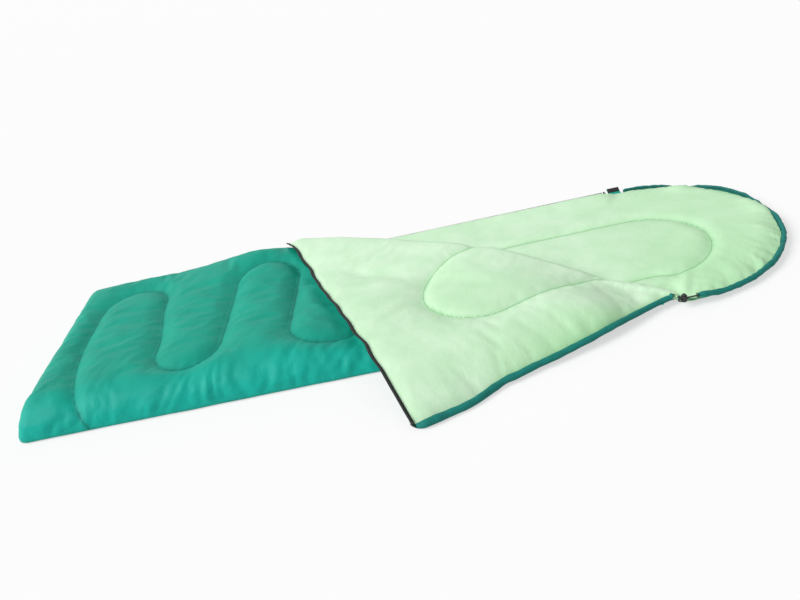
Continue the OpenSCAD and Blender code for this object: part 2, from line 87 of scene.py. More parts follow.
# Fold line, from the zip's open end to the near corner of the head line, and its normal towards the hood
FOLD_START = Vector(JOINTS["flap_fold"]["pos_m"]).to_2d()
FOLD_END = Vector((HEAD_X, -HALF_W))
FOLD_LEN = (FOLD_END - FOLD_START).length
FOLD_DIR = (FOLD_END - FOLD_START) / FOLD_LEN
FOLD_NORMAL = Vector((-FOLD_DIR.y, FOLD_DIR.x))
TURNED_ZIP = Vector((1, 0)) - 2 * FOLD_NORMAL.x * FOLD_NORMAL
CORNER_TIP = FOLD_START + (HEAD_X - FOLD_START.x) * TURNED_ZIP
ZIP_OUT = Vector((0, 1)) - 2 * FOLD_NORMAL.y * FOLD_NORMAL

# The turned-back cloth: its roll over the fold, and how it falls past the bag's near edge
ROLL_ARC = 0.15
ROLL_FOOT_Z = POCKET_Z - 0.003
CREST_SOFTNESS = 0.03
HEM_HALF = 0.012

# A point that no sewn line is near: how far along one, how far off, and on which side
UNSEWN = (0.0, 1.0, 1)

# Camera that took the picture: where it stood and how it was turned, for a frame 800 pixels wide
CAMERA_AT = (0.1796, -2.2234, 1.1871)
CAMERA_YAW, CAMERA_PITCH, CAMERA_ROLL = 1.6608, 0.4898, -0.2486
CAMERA_LENS = 37.84
SENSOR_W = 36.0


def linear(code):
    """An sRGB hex colour as linear red, green and blue."""
    channels = [int(code[k:k + 2], 16) / 255 for k in (0, 2, 4)]
    return tuple(c / 12.92 if c <= 0.04045 else ((c + 0.055) / 1.055) ** 2.4 for c in channels)


def length(label, description, default):
    return FloatProperty(
        name=label, description=description, default=default, unit="LENGTH", subtype="DISTANCE"
    )


def dye(label, description, code):
    return FloatVectorProperty(
        name=label, description=description, default=linear(code), subtype="COLOR", size=3, min=0, max=1
    )


class BagSizes(bpy.types.PropertyGroup):
    """Sizes of the cloth and trim."""

    cell: length("Cloth cell", "Mesh size of the quilts", 0.0085)
    top_crown: length("Top crown", "Height of the top quilt between its sewn lines", 0.090)
    under_crown: length("Covered crown", "Height of the top quilt under the turned-back part", 0.068)
    base_crown: length("Base crown", "Height of the base lining between its sewn lines", 0.033)
    stitch_sink: length("Stitch sink", "How deep a sewn line lies in the top quilt", 0.016)
    base_sink: length("Base sink", "How deep the sewn line lies in the base lining", 0.009)
    flap_sink: length("Turned-back sink", "How deep the sewn line lies in the turned-back lining", 0.012)
    channel: length("Channel", "Distance over which the cloth dips to a sewn line", 0.060)
    pucker: length("Pucker", "Depth of the gathers beside a sewn line", 0.0036)
    pucker_pitch: length("Pucker pitch", "Spacing of the gathers beside a sewn line", 0.026)
    roll_bow: length("Fold bow", "How far the fold bows past its straight line", 0.035)
    roll_bulge: length("Fold bulge", "How far the rolled fold stands out", 0.042)
    fabric: length("Fabric", "Thickness that the cloth shows at an edge", 0.0012)
    stitch_pitch: length("Stitch pitch", "Length of one stitch and its gap", 0.0062)
    thread: length("Thread", "Radius of the sewing thread", 0.0005)
    tooth_pitch: length("Tooth pitch", "Spacing of the zip's teeth", 0.0034)
    pleat_pitch: length("Pleat pitch", "Spacing of the gathers on the hood's casing", 0.017)
    run_pitch: length("Run pitch", "Distance between runs of the top's sewn line", 0.218)
    run_start: length("Run start", "Distance of the first run from the foot", 0.118)
    far_turn: length("Far turn", "Centre of the far turns from the middle", 0.160)
    near_turn: length("Near turn", "Centre of the near turns from the middle", 0.165)
    base_arch: length("Base arch", "Radius of the base's sewn arch", 0.189)
    flap_arch: length("Turned-back arch", "Radius of the turned-back part's sewn arch", 0.156)
    settle_frames: IntProperty(
        name="Settling", description="Steps of the cloth's settling", default=16, min=2
    )


class BagColours(bpy.types.PropertyGroup):
    """Colours of the cloth and trim."""

    shell: dye("Shell", "Outer cloth", "18A68E")
    # Painted sheen: a lighter, bluer shell colour down the near side, where the shell turns down it
    shell_side: dye("Shell, side", "Outer cloth where it hangs down the near side", "14B09F")
    # Mixed in by broad random mottling, and as painted shade along the sewn lines
    shell_deep: dye("Shell, deep", "Outer cloth in its creases and along seams", "127A6C")
    lining: dye("Lining", "Inner cloth", "DBF6D9")
    # Painted shade: a deeper green on the turned-back lining where it falls to its hem, away from the fold
    # and inside its sewn arch, and on the base lining in the hood, most towards its near side
    lining_side: dye("Lining, side", "Inner cloth where it hangs, and flattened in the hood", "ACE3AA")
    # Mixed in by broad random mottling, and as painted shade along the sewn lines
    lining_deep: dye("Lining, deep", "Inner cloth in its creases and along seams", "A6DDA6")
    binding: dye("Binding", "Hem and hood casing", "1A7F75")
    tape: dye("Tape", "Zip tape and patches", "0E1613")
    coil: dye("Coil", "Zip teeth", "0C1110")
    metal: dye("Metal", "Enamel of the slider and stops", "202624")
    toggle: dye("Toggle", "Cord lock and pull", "171D1B")
    cord: dye("Cord", "Drawcord", "22302B")
    floor: dye("Floor", "Studio floor", "FAFAFA")


def sizes():
    return bpy.context.scene.bag_sizes


def colours():
    return bpy.context.scene.bag_colours


def mix(a, b, share):
    return a + (b - a) * share


def smooth(t):
    t = min(1.0, max(0.0, t))
    return t * t * (3 - 2 * t)


def swell(distance, band):
    """Rise of a quilt from its sewn edge, from 0 at the edge to 1 past the band."""
    t = min(1.0, max(0.0, distance / band))
    return math.sqrt(1 - (1 - t) ** 2)


def ripple(x, y, size, seed):
    """Smooth noise from -1 to 1 with features of that size."""
    return noise.noise(Vector((x / size, y / size, seed)))


def creases(x, y, size, seed):
    """Rounded folds with sharp valleys between them, from -1 to about 1."""
    return 4 * abs(ripple(x, y, size, seed)) - 1


# Sewn lines


def straight(start, end, step=0.002):
    start, end = Vector(start), Vector(end)
    count = max(1, round((end - start).length / step))
    return [start.lerp(end, k / count) for k in range(count)]


def bend(centre, radius, start, end, step=0.002):
    """Points round a turn, angles in degrees."""
    count = max(1, round(abs(math.radians(end - start)) * radius / step))
    angles = [math.radians(mix(start, end, k / count)) for k in range(count)]
    return [Vector(centre) + radius * Vector((math.cos(a), math.sin(a))) for a in angles]


class SewnLine:
    """A sewn line in a quilt's flat pattern."""

    def __init__(self, points):
        self.points = points
        self.along = [0.0]
        for a, b in zip(points, points[1:]):
            self.along.append(self.along[-1] + (b - a).length)
        self.tree = kdtree.KDTree(len(points))
        for k, p in enumerate(points):
            self.tree.insert(p.to_3d(), k)
        self.tree.balance()

    def nearest(self, x, y):
        """The nearest point, how far along the line it is, how far off it is, and on which side."""
        place, k, distance = self.tree.find((x, y, 0))
        ahead = self.points[min(k + 1, len(self.points) - 1)] - self.points[max(k - 1, 0)]
        side = 1 if ahead.x * (y - place.y) - ahead.y * (x - place.x) > 0 else -1
        return place, self.along[k], distance, side


def top_line():
    """The line that winds up and down the top quilt from its foot, slanting in from the near edge."""
    s = sizes()
    first = FOOT_X + s.run_start
    slant, lean = 0.085, 0.040
    points = []
    for k in range(6):
        x = first + k * s.run_pitch
        up = k % 2 == 0
        near = -s.near_turn if k else -HALF_W - s.run_start
        run = straight((x, near), (x, s.far_turn))
        run = run if up else run[::-1]
        turn = (x + s.run_pitch / 2, s.far_turn if up else -s.near_turn)
        run += bend(turn, s.run_pitch / 2, 180, 0 if up else 360)
        for i, p in enumerate(run):
            share = i / len(run)
            if k == 0:
                p.x += slant * max(0.0, (0.05 - p.y) / (0.05 + HALF_W)) ** 2.2
            elif k == 1:
                p.x += lean * (smooth(share / 0.45) - 0.55 * smooth((share - 0.55) / 0.45))
            elif k == 2:
                p.x += lean * 0.45 * (1 - smooth((share - 0.45) / 0.55))
        points += run
    return SewnLine(points)


def arch_line(centre, radius, facing, leg):
    """An arch closed towards an angle in degrees, with two straight legs the other way."""
    centre = Vector(centre)
    back = -leg * Vector((math.cos(math.radians(facing)), math.sin(math.radians(facing))))
    turn = bend(centre, radius, facing + 90, facing - 90)
    ends = [centre + radius * Vector((math.cos(math.radians(facing + a)), math.sin(math.radians(facing + a))))
            for a in (90, -90)]
    return SewnLine(straight(ends[0] + back, ends[0]) + turn + straight(ends[1], ends[1] + back))


def base_line():
    """The arch sewn in the base lining, its round end in the hood."""
    s = sizes()
    return arch_line((HOOD_X - 0.029, -0.049), s.base_arch, 0, HOOD_X - FOOT_X - 0.25)


def flap_line():
    """The arch sewn in the turned-back part, drawn in its closed place."""
    s = sizes()
    return arch_line((HEAD_X - 0.355, 0.013), s.flap_arch, 90, HALF_W)


def gathers(along, distance, side, depth, pitch):
    """Height of the gathers that run out from a sewn line."""
    wave = ripple(along, side * 0.4, pitch, 3.7) + 0.5 * ripple(along, side * 0.7, pitch / 2, 9.1)
    return depth * wave * math.exp(-distance / 0.024) * smooth(distance / 0.006)


def dip(distance, channel):
    """Share of a sewn line's depth at that distance from it."""
    return (1 - min(1.0, distance / channel)) ** 2


# Cloth


def cut_away(bm, at, normal):
    """Cuts the flat cloth along a line and drops the side that the normal points to."""
    bmesh.ops.bisect_plane(
        bm, geom=bm.verts[:] + bm.edges[:] + bm.faces[:], dist=1e-5,
        plane_co=Vector(at).to_3d(), plane_no=Vector(normal).to_3d(), clear_outer=True,
    )


def new_cloth():
    """An empty mesh whose points keep their place in the pattern, their painted shade beside seams, and their
    painted shading: painted sheen on the shell's near side, painted shade on the lining.
    """
    bm = bmesh.new()
    bm.verts.layers.float_vector.new("pattern")
    bm.verts.layers.float.new("sewn")
    bm.verts.layers.float.new("painted_shading")
    return bm


def flat_cloth(low, high, cell):
    """A flat rectangle of cloth between two corners, in square cells."""
    bm = new_cloth()
    size = Vector(high) - Vector(low)
    middle = (Vector(high) + Vector(low)) / 2
    bmesh.ops.create_grid(
        bm, x_segments=round(size.x / cell), y_segments=round(size.y / cell), size=0.5,
        matrix=Matrix.Translation(middle.to_3d()) @ Matrix.Diagonal((size.x, size.y, 1, 1)),
    )
    return bm


def take_pattern(bm):
    """Keeps each point's place in the flat pattern, which the weave and the creases follow."""
    pattern = bm.verts.layers.float_vector["pattern"]
    for v in bm.verts:
        v[pattern] = v.co


def sew(bm, line, cell):
    """Moves the points beside a sewn line onto it, and paints shade on the cloth within a few millimetres of
    it. Returns each point's nearest place on the line.
    """
    near = []
    sewn = bm.verts.layers.float["sewn"]
    for v in bm.verts:
        place, along, distance, side = line.nearest(v.co.x, v.co.y)
        if distance < 0.5 * cell and not v.is_boundary:
            v.co.x, v.co.y = place.x, place.y
            distance = 0.0
        # Painted shade: the cloth darkens towards the sewn line, where its crease is in shade
        v[sewn] = math.exp(-distance / 0.006)
        near.append((along, distance, side))
    return near


def finish_piece(bm, name, material):
    """Turns a bmesh into a smooth-shaded piece."""
    mesh = bpy.data.meshes.new(name)
    bm.to_mesh(mesh)
    bm.free()
    mesh.shade_smooth()
    mesh.materials.append(material)
    piece = bpy.data.objects.new(name, mesh)
    bpy.context.scene.collection.objects.link(piece)
    return piece


def settle(piece, hold, push, shrink, reach):
    """Lets padded cloth swell and pucker between its stitches, each point within reach, and applies it."""
    scene = bpy.context.scene
    start = [v.co.copy() for v in piece.data.vertices]
    group = piece.vertex_groups.new(name="held")
    for k, share in enumerate(hold):
        group.add([k], share, "REPLACE")
    cloth = piece.modifiers.new("settle", "CLOTH")
    rules = cloth.settings
    rules.quality = 5
    rules.mass = 0.15
    rules.tension_stiffness = rules.compression_stiffness = 12
    rules.shear_stiffness = 5
    rules.bending_stiffness = 0.9
    rules.air_damping = 3
    rules.vertex_group_mass = "held"
    rules.pin_stiffness = 1
    rules.use_pressure = True
    rules.uniform_pressure_force = push
    rules.shrink_min = rules.shrink_max = shrink
    rules.effector_weights.gravity = 0
    cloth.point_cache.frame_start = 1
    cloth.point_cache.frame_end = sizes().settle_frames
    for step in range(1, sizes().settle_frames + 1):
        scene.frame_set(step)
    settled = piece.evaluated_get(bpy.context.evaluated_depsgraph_get()).data
    moved = []
    for v, old in zip(settled.vertices, start):
        shift = v.co - old
        moved.append(old + shift * min(1.0, reach / max(shift.length, 1e-9)))
    piece.modifiers.clear()
    piece.vertex_groups.clear()
    for v, place in zip(piece.data.vertices, moved):
        v.co = place
    piece.data.update()
    scene.frame_set(1)


# How firmly padded cloth is held in place between its stitches
FREE_HOLD = 0.1


def held(v, seam, least=FREE_HOLD):
    """How firmly a point of the cloth is held: wholly on its edges and stitches, and elsewhere as given."""
    return 1.0 if v.is_boundary or seam[1] == 0 else max(FREE_HOLD, least)


def thicken(piece, thickness, offset=-1.0):
    wall = piece.modifiers.new("fabric", "SOLIDIFY")
    wall.thickness = thickness
    wall.offset = offset


# Share of a stitch's pitch that its thread lies on top
DASH_SHARE = 0.62


def stitches(name, line, keep, place, material):
    """Thread along a sewn line: short raised dashes that follow the cloth."""
    s = sizes()
    bm = bmesh.new()
    step = s.stitch_pitch
    count = int(line.along[-1] / step)
    index = 0
    for k in range(count):
        while line.along[index] < k * step:
            index += 1
        p = line.points[index]
        if not keep(p.x, p.y):
            continue
        ahead = line.points[min(index + 1, len(line.points) - 1)]
        here, there = place(p.x, p.y), place(ahead.x, ahead.y)
        if (there - here).length < 1e-6:
            continue
        turn = (there - here).to_track_quat("X", "Z").to_matrix().to_4x4()
        dash = Matrix.Diagonal((step * DASH_SHARE, 2 * s.thread, 2 * s.thread, 1))
        bmesh.ops.create_cube(bm, size=1, matrix=Matrix.Translation(here) @ turn @ dash)
    return finish_piece(bm, name, material)


# Heights of the quilts


def edge_roll(run, band, arc):
    """Plan distance from an edge, and share of the rise, of cloth that rolls up from it over an arc."""
    if run >= arc:
        return band + run - arc, 1.0
    turn = math.pi / 2 * max(run, 0.0) / arc
    return band * (1 - math.cos(turn)), math.sin(turn)


# Plan width of the top shell's rounded edges with the cloth that goes round them, and its corners
NEAR_ROLL = (0.110, 0.140)
FAR_ROLL = (0.036, 0.062)
FOOT_ROLL = (0.055, 0.098)
NEAR_SPARE = NEAR_ROLL[1] - NEAR_ROLL[0]
FAR_SPARE = FAR_ROLL[1] - FAR_ROLL[0]
FOOT_SPARE = FOOT_ROLL[1] - FOOT_ROLL[0]
NEAR_PROUD = 0.003
FOOT_CORNER = 0.040
FAR_FOOT_CORNER = 0.070
LINING_CORNER = 0.110

# Heights of the shell's edges, and where the zip, the cord lock's crease and the bare rim begin
LOWEST_Z = 0.0015
FLOOR_EDGE_Z = 0.004
ZIP_EDGE_Z = POCKET_Z + 0.009
ZIP_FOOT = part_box("zip_tape_top")[0].x - FOOT_X
LOCK_CREASE_X = HEAD_X + 0.012
BARE_RIM_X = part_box("hood_casing")[0].x

# How far the near edge is drawn in at the cord lock, tucked under the hem, and the tray set in
DRAWN_IN = 0.034
TUCK = 0.030
TRAY_INSET = 0.007

# How much the cloth puffs beside the zip, bulges over the casing and sags to the floor
TOP_ZIP_PUFF = 0.024
BASE_ZIP_PUFF = 0.0155
CASING_BULGE = 0.008
RIM_SAG = 0.011
# Angle round the hood of each bulge over the casing and its width, in degrees
CASING_BULGES = ((57, 7), (8, 9))

# Heights of the wrinkles
UNEVEN = 0.002
SIDE_WRINKLE = 0.0034
EDGE_WRINKLE = 0.003
EDGE_WANDER = 0.003
HOOD_PLEATS = (0.0018, 0.0060)
LOCK_CREASE = 0.008
HEM_WRINKLE = 0.0024
ZIP_WRINKLE = 0.0010
TURNED_UNEVEN = 0.0025

# Heights of the rolled fold and of the turned-back lining
ROLL_HIGH_Z = 0.096
LOW_END_Z = 0.031
ROLL_SHOULDER = 0.016
ROLL_CROWN = 0.028
PLATEAU_Z = (0.098, 0.090)
HEM_Z = (0.027, 0.013)
HEM_BOW = 0.028
ZIP_WAVE = 0.006

# Depths under the turned-back lining of the layers below it, in general and at the fold's low end
GAP_AT_ZIP = 0.004
COVERED_SHELL = 0.027
COVERED_TOP = 0.032
COVERED_TOP_LINING = 0.037
COVERED_BASE = 0.041
ROLL_ON_BASE = 0.014
PRESSED_SHELL = 0.010
PRESSED_TOP = 0.0138
PRESSED_TOP_LINING = 0.0175
PRESSED_BASE = 0.021
LOW_END_RUN = 0.7 * FOLD_LEN
PAST_ROLL = 0.008


def drawn_in(place, tucked=0.0):
    """The place with the near edge drawn in beside the cord lock, and tucked further under the hem."""
    x, y, z = place
    share = smooth((x - 0.46) / 0.22) * smooth((-0.12 - y) / 0.22)
    shift = DRAWN_IN * smooth((0.740 - x) / 0.055) + tucked * smooth((HEAD_X + 0.04 - x) / 0.05)
    return Vector((x, y + share * shift, z))


def top_place(x, y, along, distance, side):
    """Where a point of the top shell's flat pattern lies."""
    s = sizes()
    near, near_rise = edge_roll(y + HALF_W + NEAR_SPARE, *NEAR_ROLL)
    far, far_rise = edge_roll(HALF_W + FAR_SPARE - y, *FAR_ROLL)
    foot, foot_rise = edge_roll(x - FOOT_X + FOOT_SPARE, *FOOT_ROLL)
    px = FOOT_X + foot
    py = near - HALF_W - NEAR_PROUD if y < 0 else HALF_W - far
    corner = FOOT_CORNER if y < 0 else FAR_FOOT_CORNER
    into = max(0.0, corner - foot) / corner
    py *= 1 - corner / HALF_W * (1 - math.sqrt(max(0.0, 1 - into * into)))
    rise = near_rise * far_rise * foot_rise
    clear = (Vector((px, py)) - FOLD_START).dot(ZIP_OUT)
    crown = mix(s.under_crown, s.top_crown, smooth((clear + 0.04) / 0.2))
    beside_fold = smooth((px - FOLD_START.x + 0.35) / 0.3) * smooth((py - 0.05) / 0.3)
    crown += TOP_ZIP_PUFF * beside_fold * smooth((clear + 0.06) / 0.08)
    zipped = smooth((py + HALF_W / 3) / (HALF_W * 0.9)) * smooth((foot - ZIP_FOOT) / 0.045)
    edge = mix(FLOOR_EDGE_Z, ZIP_EDGE_Z, zipped)
    z = edge + (crown - edge) * rise
    z -= s.stitch_sink * dip(distance, s.channel) * rise
    z += gathers(along, distance, side, 0.7 * s.pucker, s.pucker_pitch) * rise
    z += UNEVEN * ripple(px, py, 0.16, 1.3) * rise
    up = y + HALF_W + NEAR_SPARE
    slanted = px + 2.2 * ripple(px, 0.5 * up, 0.2, 3.9) * up
    crease = creases(slanted, 0.5 * up, 0.040, 5.2) + 0.7 * creases(slanted, 0.7 * up, 0.020, 6.4)
    crease *= SIDE_WRINKLE * math.exp(-up / 0.10) * smooth(up / 0.03) * foot_rise
    z += crease * near_rise
    py -= crease * math.sqrt(1 - near_rise * near_rise)
    py += EDGE_WANDER * ripple(px, 0, 0.11, 7.1) * math.exp(-up / 0.05) * foot_rise
    crease = ripple(0.25 * px, py, 0.04, 2.2) + 0.6 * ripple(0.25 * px, py, 0.02, 8.4)
    z += EDGE_WRINKLE * crease * math.exp(-foot / 0.06) * foot_rise * near_rise * far_rise
    crease = ripple(px, 0.25 * py, 0.03, 7.2)
    z += EDGE_WRINKLE * crease * math.exp(-far / 0.05) * far_rise * foot_rise
    across = fold_share(px, py)[1]
    from_start = (Vector((px, py)) - FOLD_START).length
    covered = smooth((0.045 - clear) / 0.045) * smooth((0.05 - across) / 0.03)
    gap = mix(COVERED_TOP, PRESSED_TOP, low_end(px, py))
    gap = mix(GAP_AT_ZIP, gap, smooth((from_start - 0.03) / 0.16))
    z = mix(z, min(z, flap_bed(px, py, max(0.0, -across)) - gap), covered)
    return drawn_in((px, py, max(z, LOWEST_Z)), TUCK)


def casing_cover(angle):
    """Where round the hood its lining bulges over the casing, from 0 to 1."""
    degrees = math.degrees(angle)
    return sum(math.exp(-((degrees - at) / wide) ** 2) for at, wide in CASING_BULGES)


def rim_sag(angle):
    """Where round the hood its near rim sinks to the floor, from 0 to 1."""
    degrees = math.degrees(angle)
    return smooth((degrees + 86) / 14) * smooth((12 - degrees) / 34)


def base_rim(x, y):
    """Distance of a point of the base from its edge."""
    if x > HOOD_X:
        return HALF_W - math.hypot(x - HOOD_X, y)
    return min(HALF_W - abs(y), x - FOOT_X)


def base_place(x, y, along, distance, side):
    """Where a point of the base lining's flat pattern lies."""
    s = sizes()
    rim = base_rim(x, y)
    rise = swell(rim - 0.006, 0.035)
    zipped = smooth((y - 0.26) / 0.08) * smooth((HEAD_X + 0.03 - x) / 0.06)
    zipped *= smooth((x - FOLD_START.x + 0.1) / 0.15)
    z = mix(BASE_EDGE_Z + 0.003, s.base_crown + BASE_ZIP_PUFF * zipped, rise)
    z -= s.base_sink * dip(distance, s.channel * 0.7) * rise
    z += gathers(along, distance, side, s.pucker * 0.7, s.pucker_pitch) * rise
    z += UNEVEN * ripple(x, y, 0.14, 4.3) * rise
    if x > HEAD_X - 0.1:
        angle = math.atan2(y, x - HOOD_X)
        cover = casing_cover(angle)
        z += CASING_BULGE * cover * smooth((0.08 - rim) / 0.06)
        turn = angle * HALF_W - 0.6 * rim
        pleats = creases(turn, 0.15 * rim, 0.030, 1.9) + 0.6 * creases(turn, 0.2 * rim, 0.015, 2.9)
        pleats *= math.exp(-max(rim - 0.02, 0) / 0.05) * smooth((rim - 0.012) / 0.01)
        drawn = mix(*HOOD_PLEATS, smooth((0.3 - angle) / 0.8))
        z += drawn * pleats * smooth((x - HEAD_X + 0.1) / 0.12)
        beside_lock = math.exp(-abs(x - LOCK_CREASE_X) / 0.007) * smooth((-0.25 - y) / 0.07)
        z -= LOCK_CREASE * beside_lock * rise
        z -= RIM_SAG * rim_sag(angle) * smooth((0.075 - rim) / 0.065)
        lip = smooth((0.017 - rim) / 0.005)
        bare = lip * smooth((BARE_RIM_X + 0.02 - x) / 0.02)
        z = mix(z - 0.013 * lip * cover, BASE_EDGE_Z + 0.0015, bare)
        shift = 0.006 * lip * cover + bare * (rim - (0.004 if y > 0 else 0.010))
        out = Vector((max(0.0, x - HOOD_X), y)).normalized()
        x += shift * out.x
        y += shift * out.y
    else:
        pleats = ripple(x, 0.2 * y, 0.035, 3.3)
        z += UNEVEN * pleats * math.exp(-rim / 0.05) * rise
    corner = math.hypot(x - FOLD_END.x, y - FOLD_END.y)
    z -= 0.012 * math.exp(-(corner / 0.07) ** 2) * rise
    across = fold_share(x, y)[1]
    if across < 0:
        depth = mix(COVERED_BASE, PRESSED_BASE, low_end(x, y))
        depth = mix(ROLL_ON_BASE, depth, smooth(-across / 0.03))
        z = min(z, flap_bed(x, y, -across) - depth)
    inset = 0.03 * smooth((HEAD_X - 0.02 - x) / 0.1)
    return drawn_in((max(x, FOOT_X + 0.045), max(y, inset - HALF_W), z))


def fold_share(x, y):
    """Distance along the fold line and across it, towards the hood, of a point in plan."""
    from_start = Vector((x, y)) - FOLD_START
    return from_start.dot(FOLD_DIR), from_start.dot(FOLD_NORMAL)


def low_end(x, y):
    """Where the layers under the low end of the fold are pressed together, from 0 to 1."""
    return smooth((0.24 - math.hypot(x - FOLD_END.x, y - FOLD_END.y)) / 0.16)


def roll_top(t):
    """Height of the rolled fold at a share of its length."""
    t = min(1.0, max(0.0, t))
    level = mix(ROLL_HIGH_Z, LOW_END_Z, smooth((t - 0.5) / 0.5))
    level += ROLL_SHOULDER * smooth(t / 0.05) * smooth((0.42 - t) / 0.3)
    return level + ROLL_CROWN * math.sin(math.pi * t) ** 1.2


def hem_fall(px, py):
    """Share of the fall from the bag's near edge to the hem, and of the hem's length from the fold."""
    over = -HALF_W + CREST_SOFTNESS - py
    fall = (math.hypot(over, CREST_SOFTNESS) + over) / 2
    hem_run = (HEAD_X - max(px, CORNER_TIP.x)) / (HEAD_X - CORNER_TIP.x)
    return fall / max(0.045, hem_run * (-HALF_W - CORNER_TIP.y) + CREST_SOFTNESS), hem_run


def flap_bed(px, py, across):
    """Height of the turned-back lining before its quilting, at a point of its plan."""
    t = fold_share(px, py)[0] / FOLD_LEN
    plateau = mix(*PLATEAU_Z, smooth((-py - 0.1) / (HALF_W - 0.1)))
    z = mix(roll_top(t), plateau, smooth(across / 0.17))
    corner = math.hypot(px - FOLD_END.x, py - FOLD_END.y)
    z = mix(LOW_END_Z, z, smooth(corner / 0.26))
    fall, hem_run = hem_fall(px, py)
    hem_z = mix(*HEM_Z, smooth((hem_run - 0.12) / 0.57))
    return mix(z, hem_z, min(1.08, fall) ** 1.7)


def hem_bow(x, y):
    """How far the free corner of the turned-back part spreads past its hem's straight line."""
    round_corner = math.sqrt(1 - min(1.0, max(0.0, 1 - (HALF_W + 0.006 - y) / 0.03)) ** 2)
    return HEM_BOW * smooth((y - 0.11) / 0.15) * round_corner * smooth((x - HEAD_X + 0.25) / 0.25)


def zip_wave(x, y):
    """How far the zip's edge of the turned-back part waves out of its straight line."""
    return ZIP_WAVE * ripple(x, 0, 0.075, 4.9) * math.exp(-max(HALF_W - y, 0.0) / 0.05)


def turned_plan(x, y, run, out):
    """Plan of a point of the turned-back part, that far along the fold line and out from it."""
    plan = FOLD_START + run * FOLD_DIR + out * FOLD_NORMAL
    return plan + hem_bow(x, y) * TURNED_ZIP + zip_wave(x, y) * ZIP_OUT


def flap_place(x, y, along, distance, side):
    """Where a point of the turned-back lining lies, from its place in the closed top quilt."""
    s = sizes()
    run, across = fold_share(x, y)
    t = min(1.0, max(0.0, run / FOLD_LEN))
    bow = s.roll_bow * math.sin(math.pi * t)
    bulge = s.roll_bulge * (0.4 + 0.6 * math.sin(math.pi * t) ** 0.7)
    if across < 0:
        turn = math.pi / 2 * (1 + 2 * across / ROLL_ARC)
        foot_z = min(ROLL_FOOT_Z, roll_top(t) - 0.006)
        half = (roll_top(t) - foot_z) / 2
        out = bow * (0.5 + 0.5 * math.sin(turn)) + bulge * math.cos(turn)
        plan = FOLD_START + run * FOLD_DIR + out * FOLD_NORMAL
        z = foot_z + half * (1 + math.sin(turn))
        rise = 1.0
    else:
        plan = turned_plan(x, y, run, bow * (1 - smooth(across / 0.25)) - across)
        zip_edge, hem_edge = HALF_W - y, HEAD_X - x - HEM_HALF
        rise = swell(zip_edge, 0.05) * swell(hem_edge, 0.05)
        z = flap_bed(plan.x, plan.y, across)
        z -= 0.006 * (1 - swell(zip_edge, 0.045)) + 0.004 * (1 - swell(hem_edge, 0.05))
        crease = creases(y, 0.2 * x, 0.05, 2.6) + 0.6 * creases(y + 0.3 * x, 0.2 * x, 0.024, 4.6)
        z += HEM_WRINKLE * crease * math.exp(-max(hem_edge, 0) / 0.06) * smooth(hem_edge / 0.02)
        crease = ripple(x, 0.25 * y, 0.030, 7.6)
        z += ZIP_WRINKLE * crease * math.exp(-zip_edge / 0.05) * smooth(zip_edge / 0.02)
    pad = swell(across + ROLL_ARC, 0.06)
    z -= s.flap_sink * dip(distance, s.channel) * rise
    z += gathers(along, distance, side, 0.8 * s.pucker, s.pucker_pitch) * rise
    z += TURNED_UNEVEN * ripple(plan.x, plan.y, 0.15, 6.3) * rise * pad
    return drawn_in((plan.x, plan.y, max(z, 0.004)))


def flap_under(x, y):
    """Where a point of the turned-back part's shell lies, on its underside."""
    run, across = fold_share(x, y)
    plan = turned_plan(x, y, run, -across)
    lining = flap_bed(plan.x, plan.y, across)
    rim = max(0.0, min(HALF_W - y, HEAD_X - HEM_HALF - x))
    flat = mix(lining - 0.007, FOLD_Z + 0.0008, swell(rim, 0.06))
    pressed = low_end(plan.x, plan.y)
    hung = lining - mix(0.006, mix(0.024, PRESSED_SHELL, pressed), swell(rim, 0.07))
    z = mix(flat, hung, smooth((-HALF_W + 0.06 - plan.y) / 0.08))
    z = min(z, lining - mix(0.007, mix(COVERED_SHELL, PRESSED_SHELL, pressed), swell(rim, 0.14)))
    return drawn_in((plan.x, plan.y, max(z, LOWEST_Z)))


# Materials


FACTOR, FIRST, SECOND, MIXED = 0, 6, 7, 2


def add(tree, kind, inputs=None, **settings):
    """Adds a node, with its own settings, and its sockets set to values or linked to outputs."""
    node = tree.nodes.new(kind)
    for name, value in settings.items():
        setattr(node, name, value)
    for socket, value in (inputs or {}).items():
        if isinstance(value, bpy.types.NodeSocket):
            tree.links.new(value, node.inputs[socket])
        else:
            node.inputs[socket].default_value = value
    return node


def start_material(name, **values):
    """A material with a Principled shader whose constant sockets are set."""
    material = bpy.data.materials.new(name)
    material.use_nodes = True
    tree = material.node_tree
    shader = tree.nodes["Principled BSDF"]
    for socket, value in values.items():
        shader.inputs[socket.replace("_", " ")].default_value = value
    return material, tree, shader


def wave_scale(spacing):
    """Scale of a Wave texture whose bands lie that far apart."""
    return math.pi / (10 * spacing)


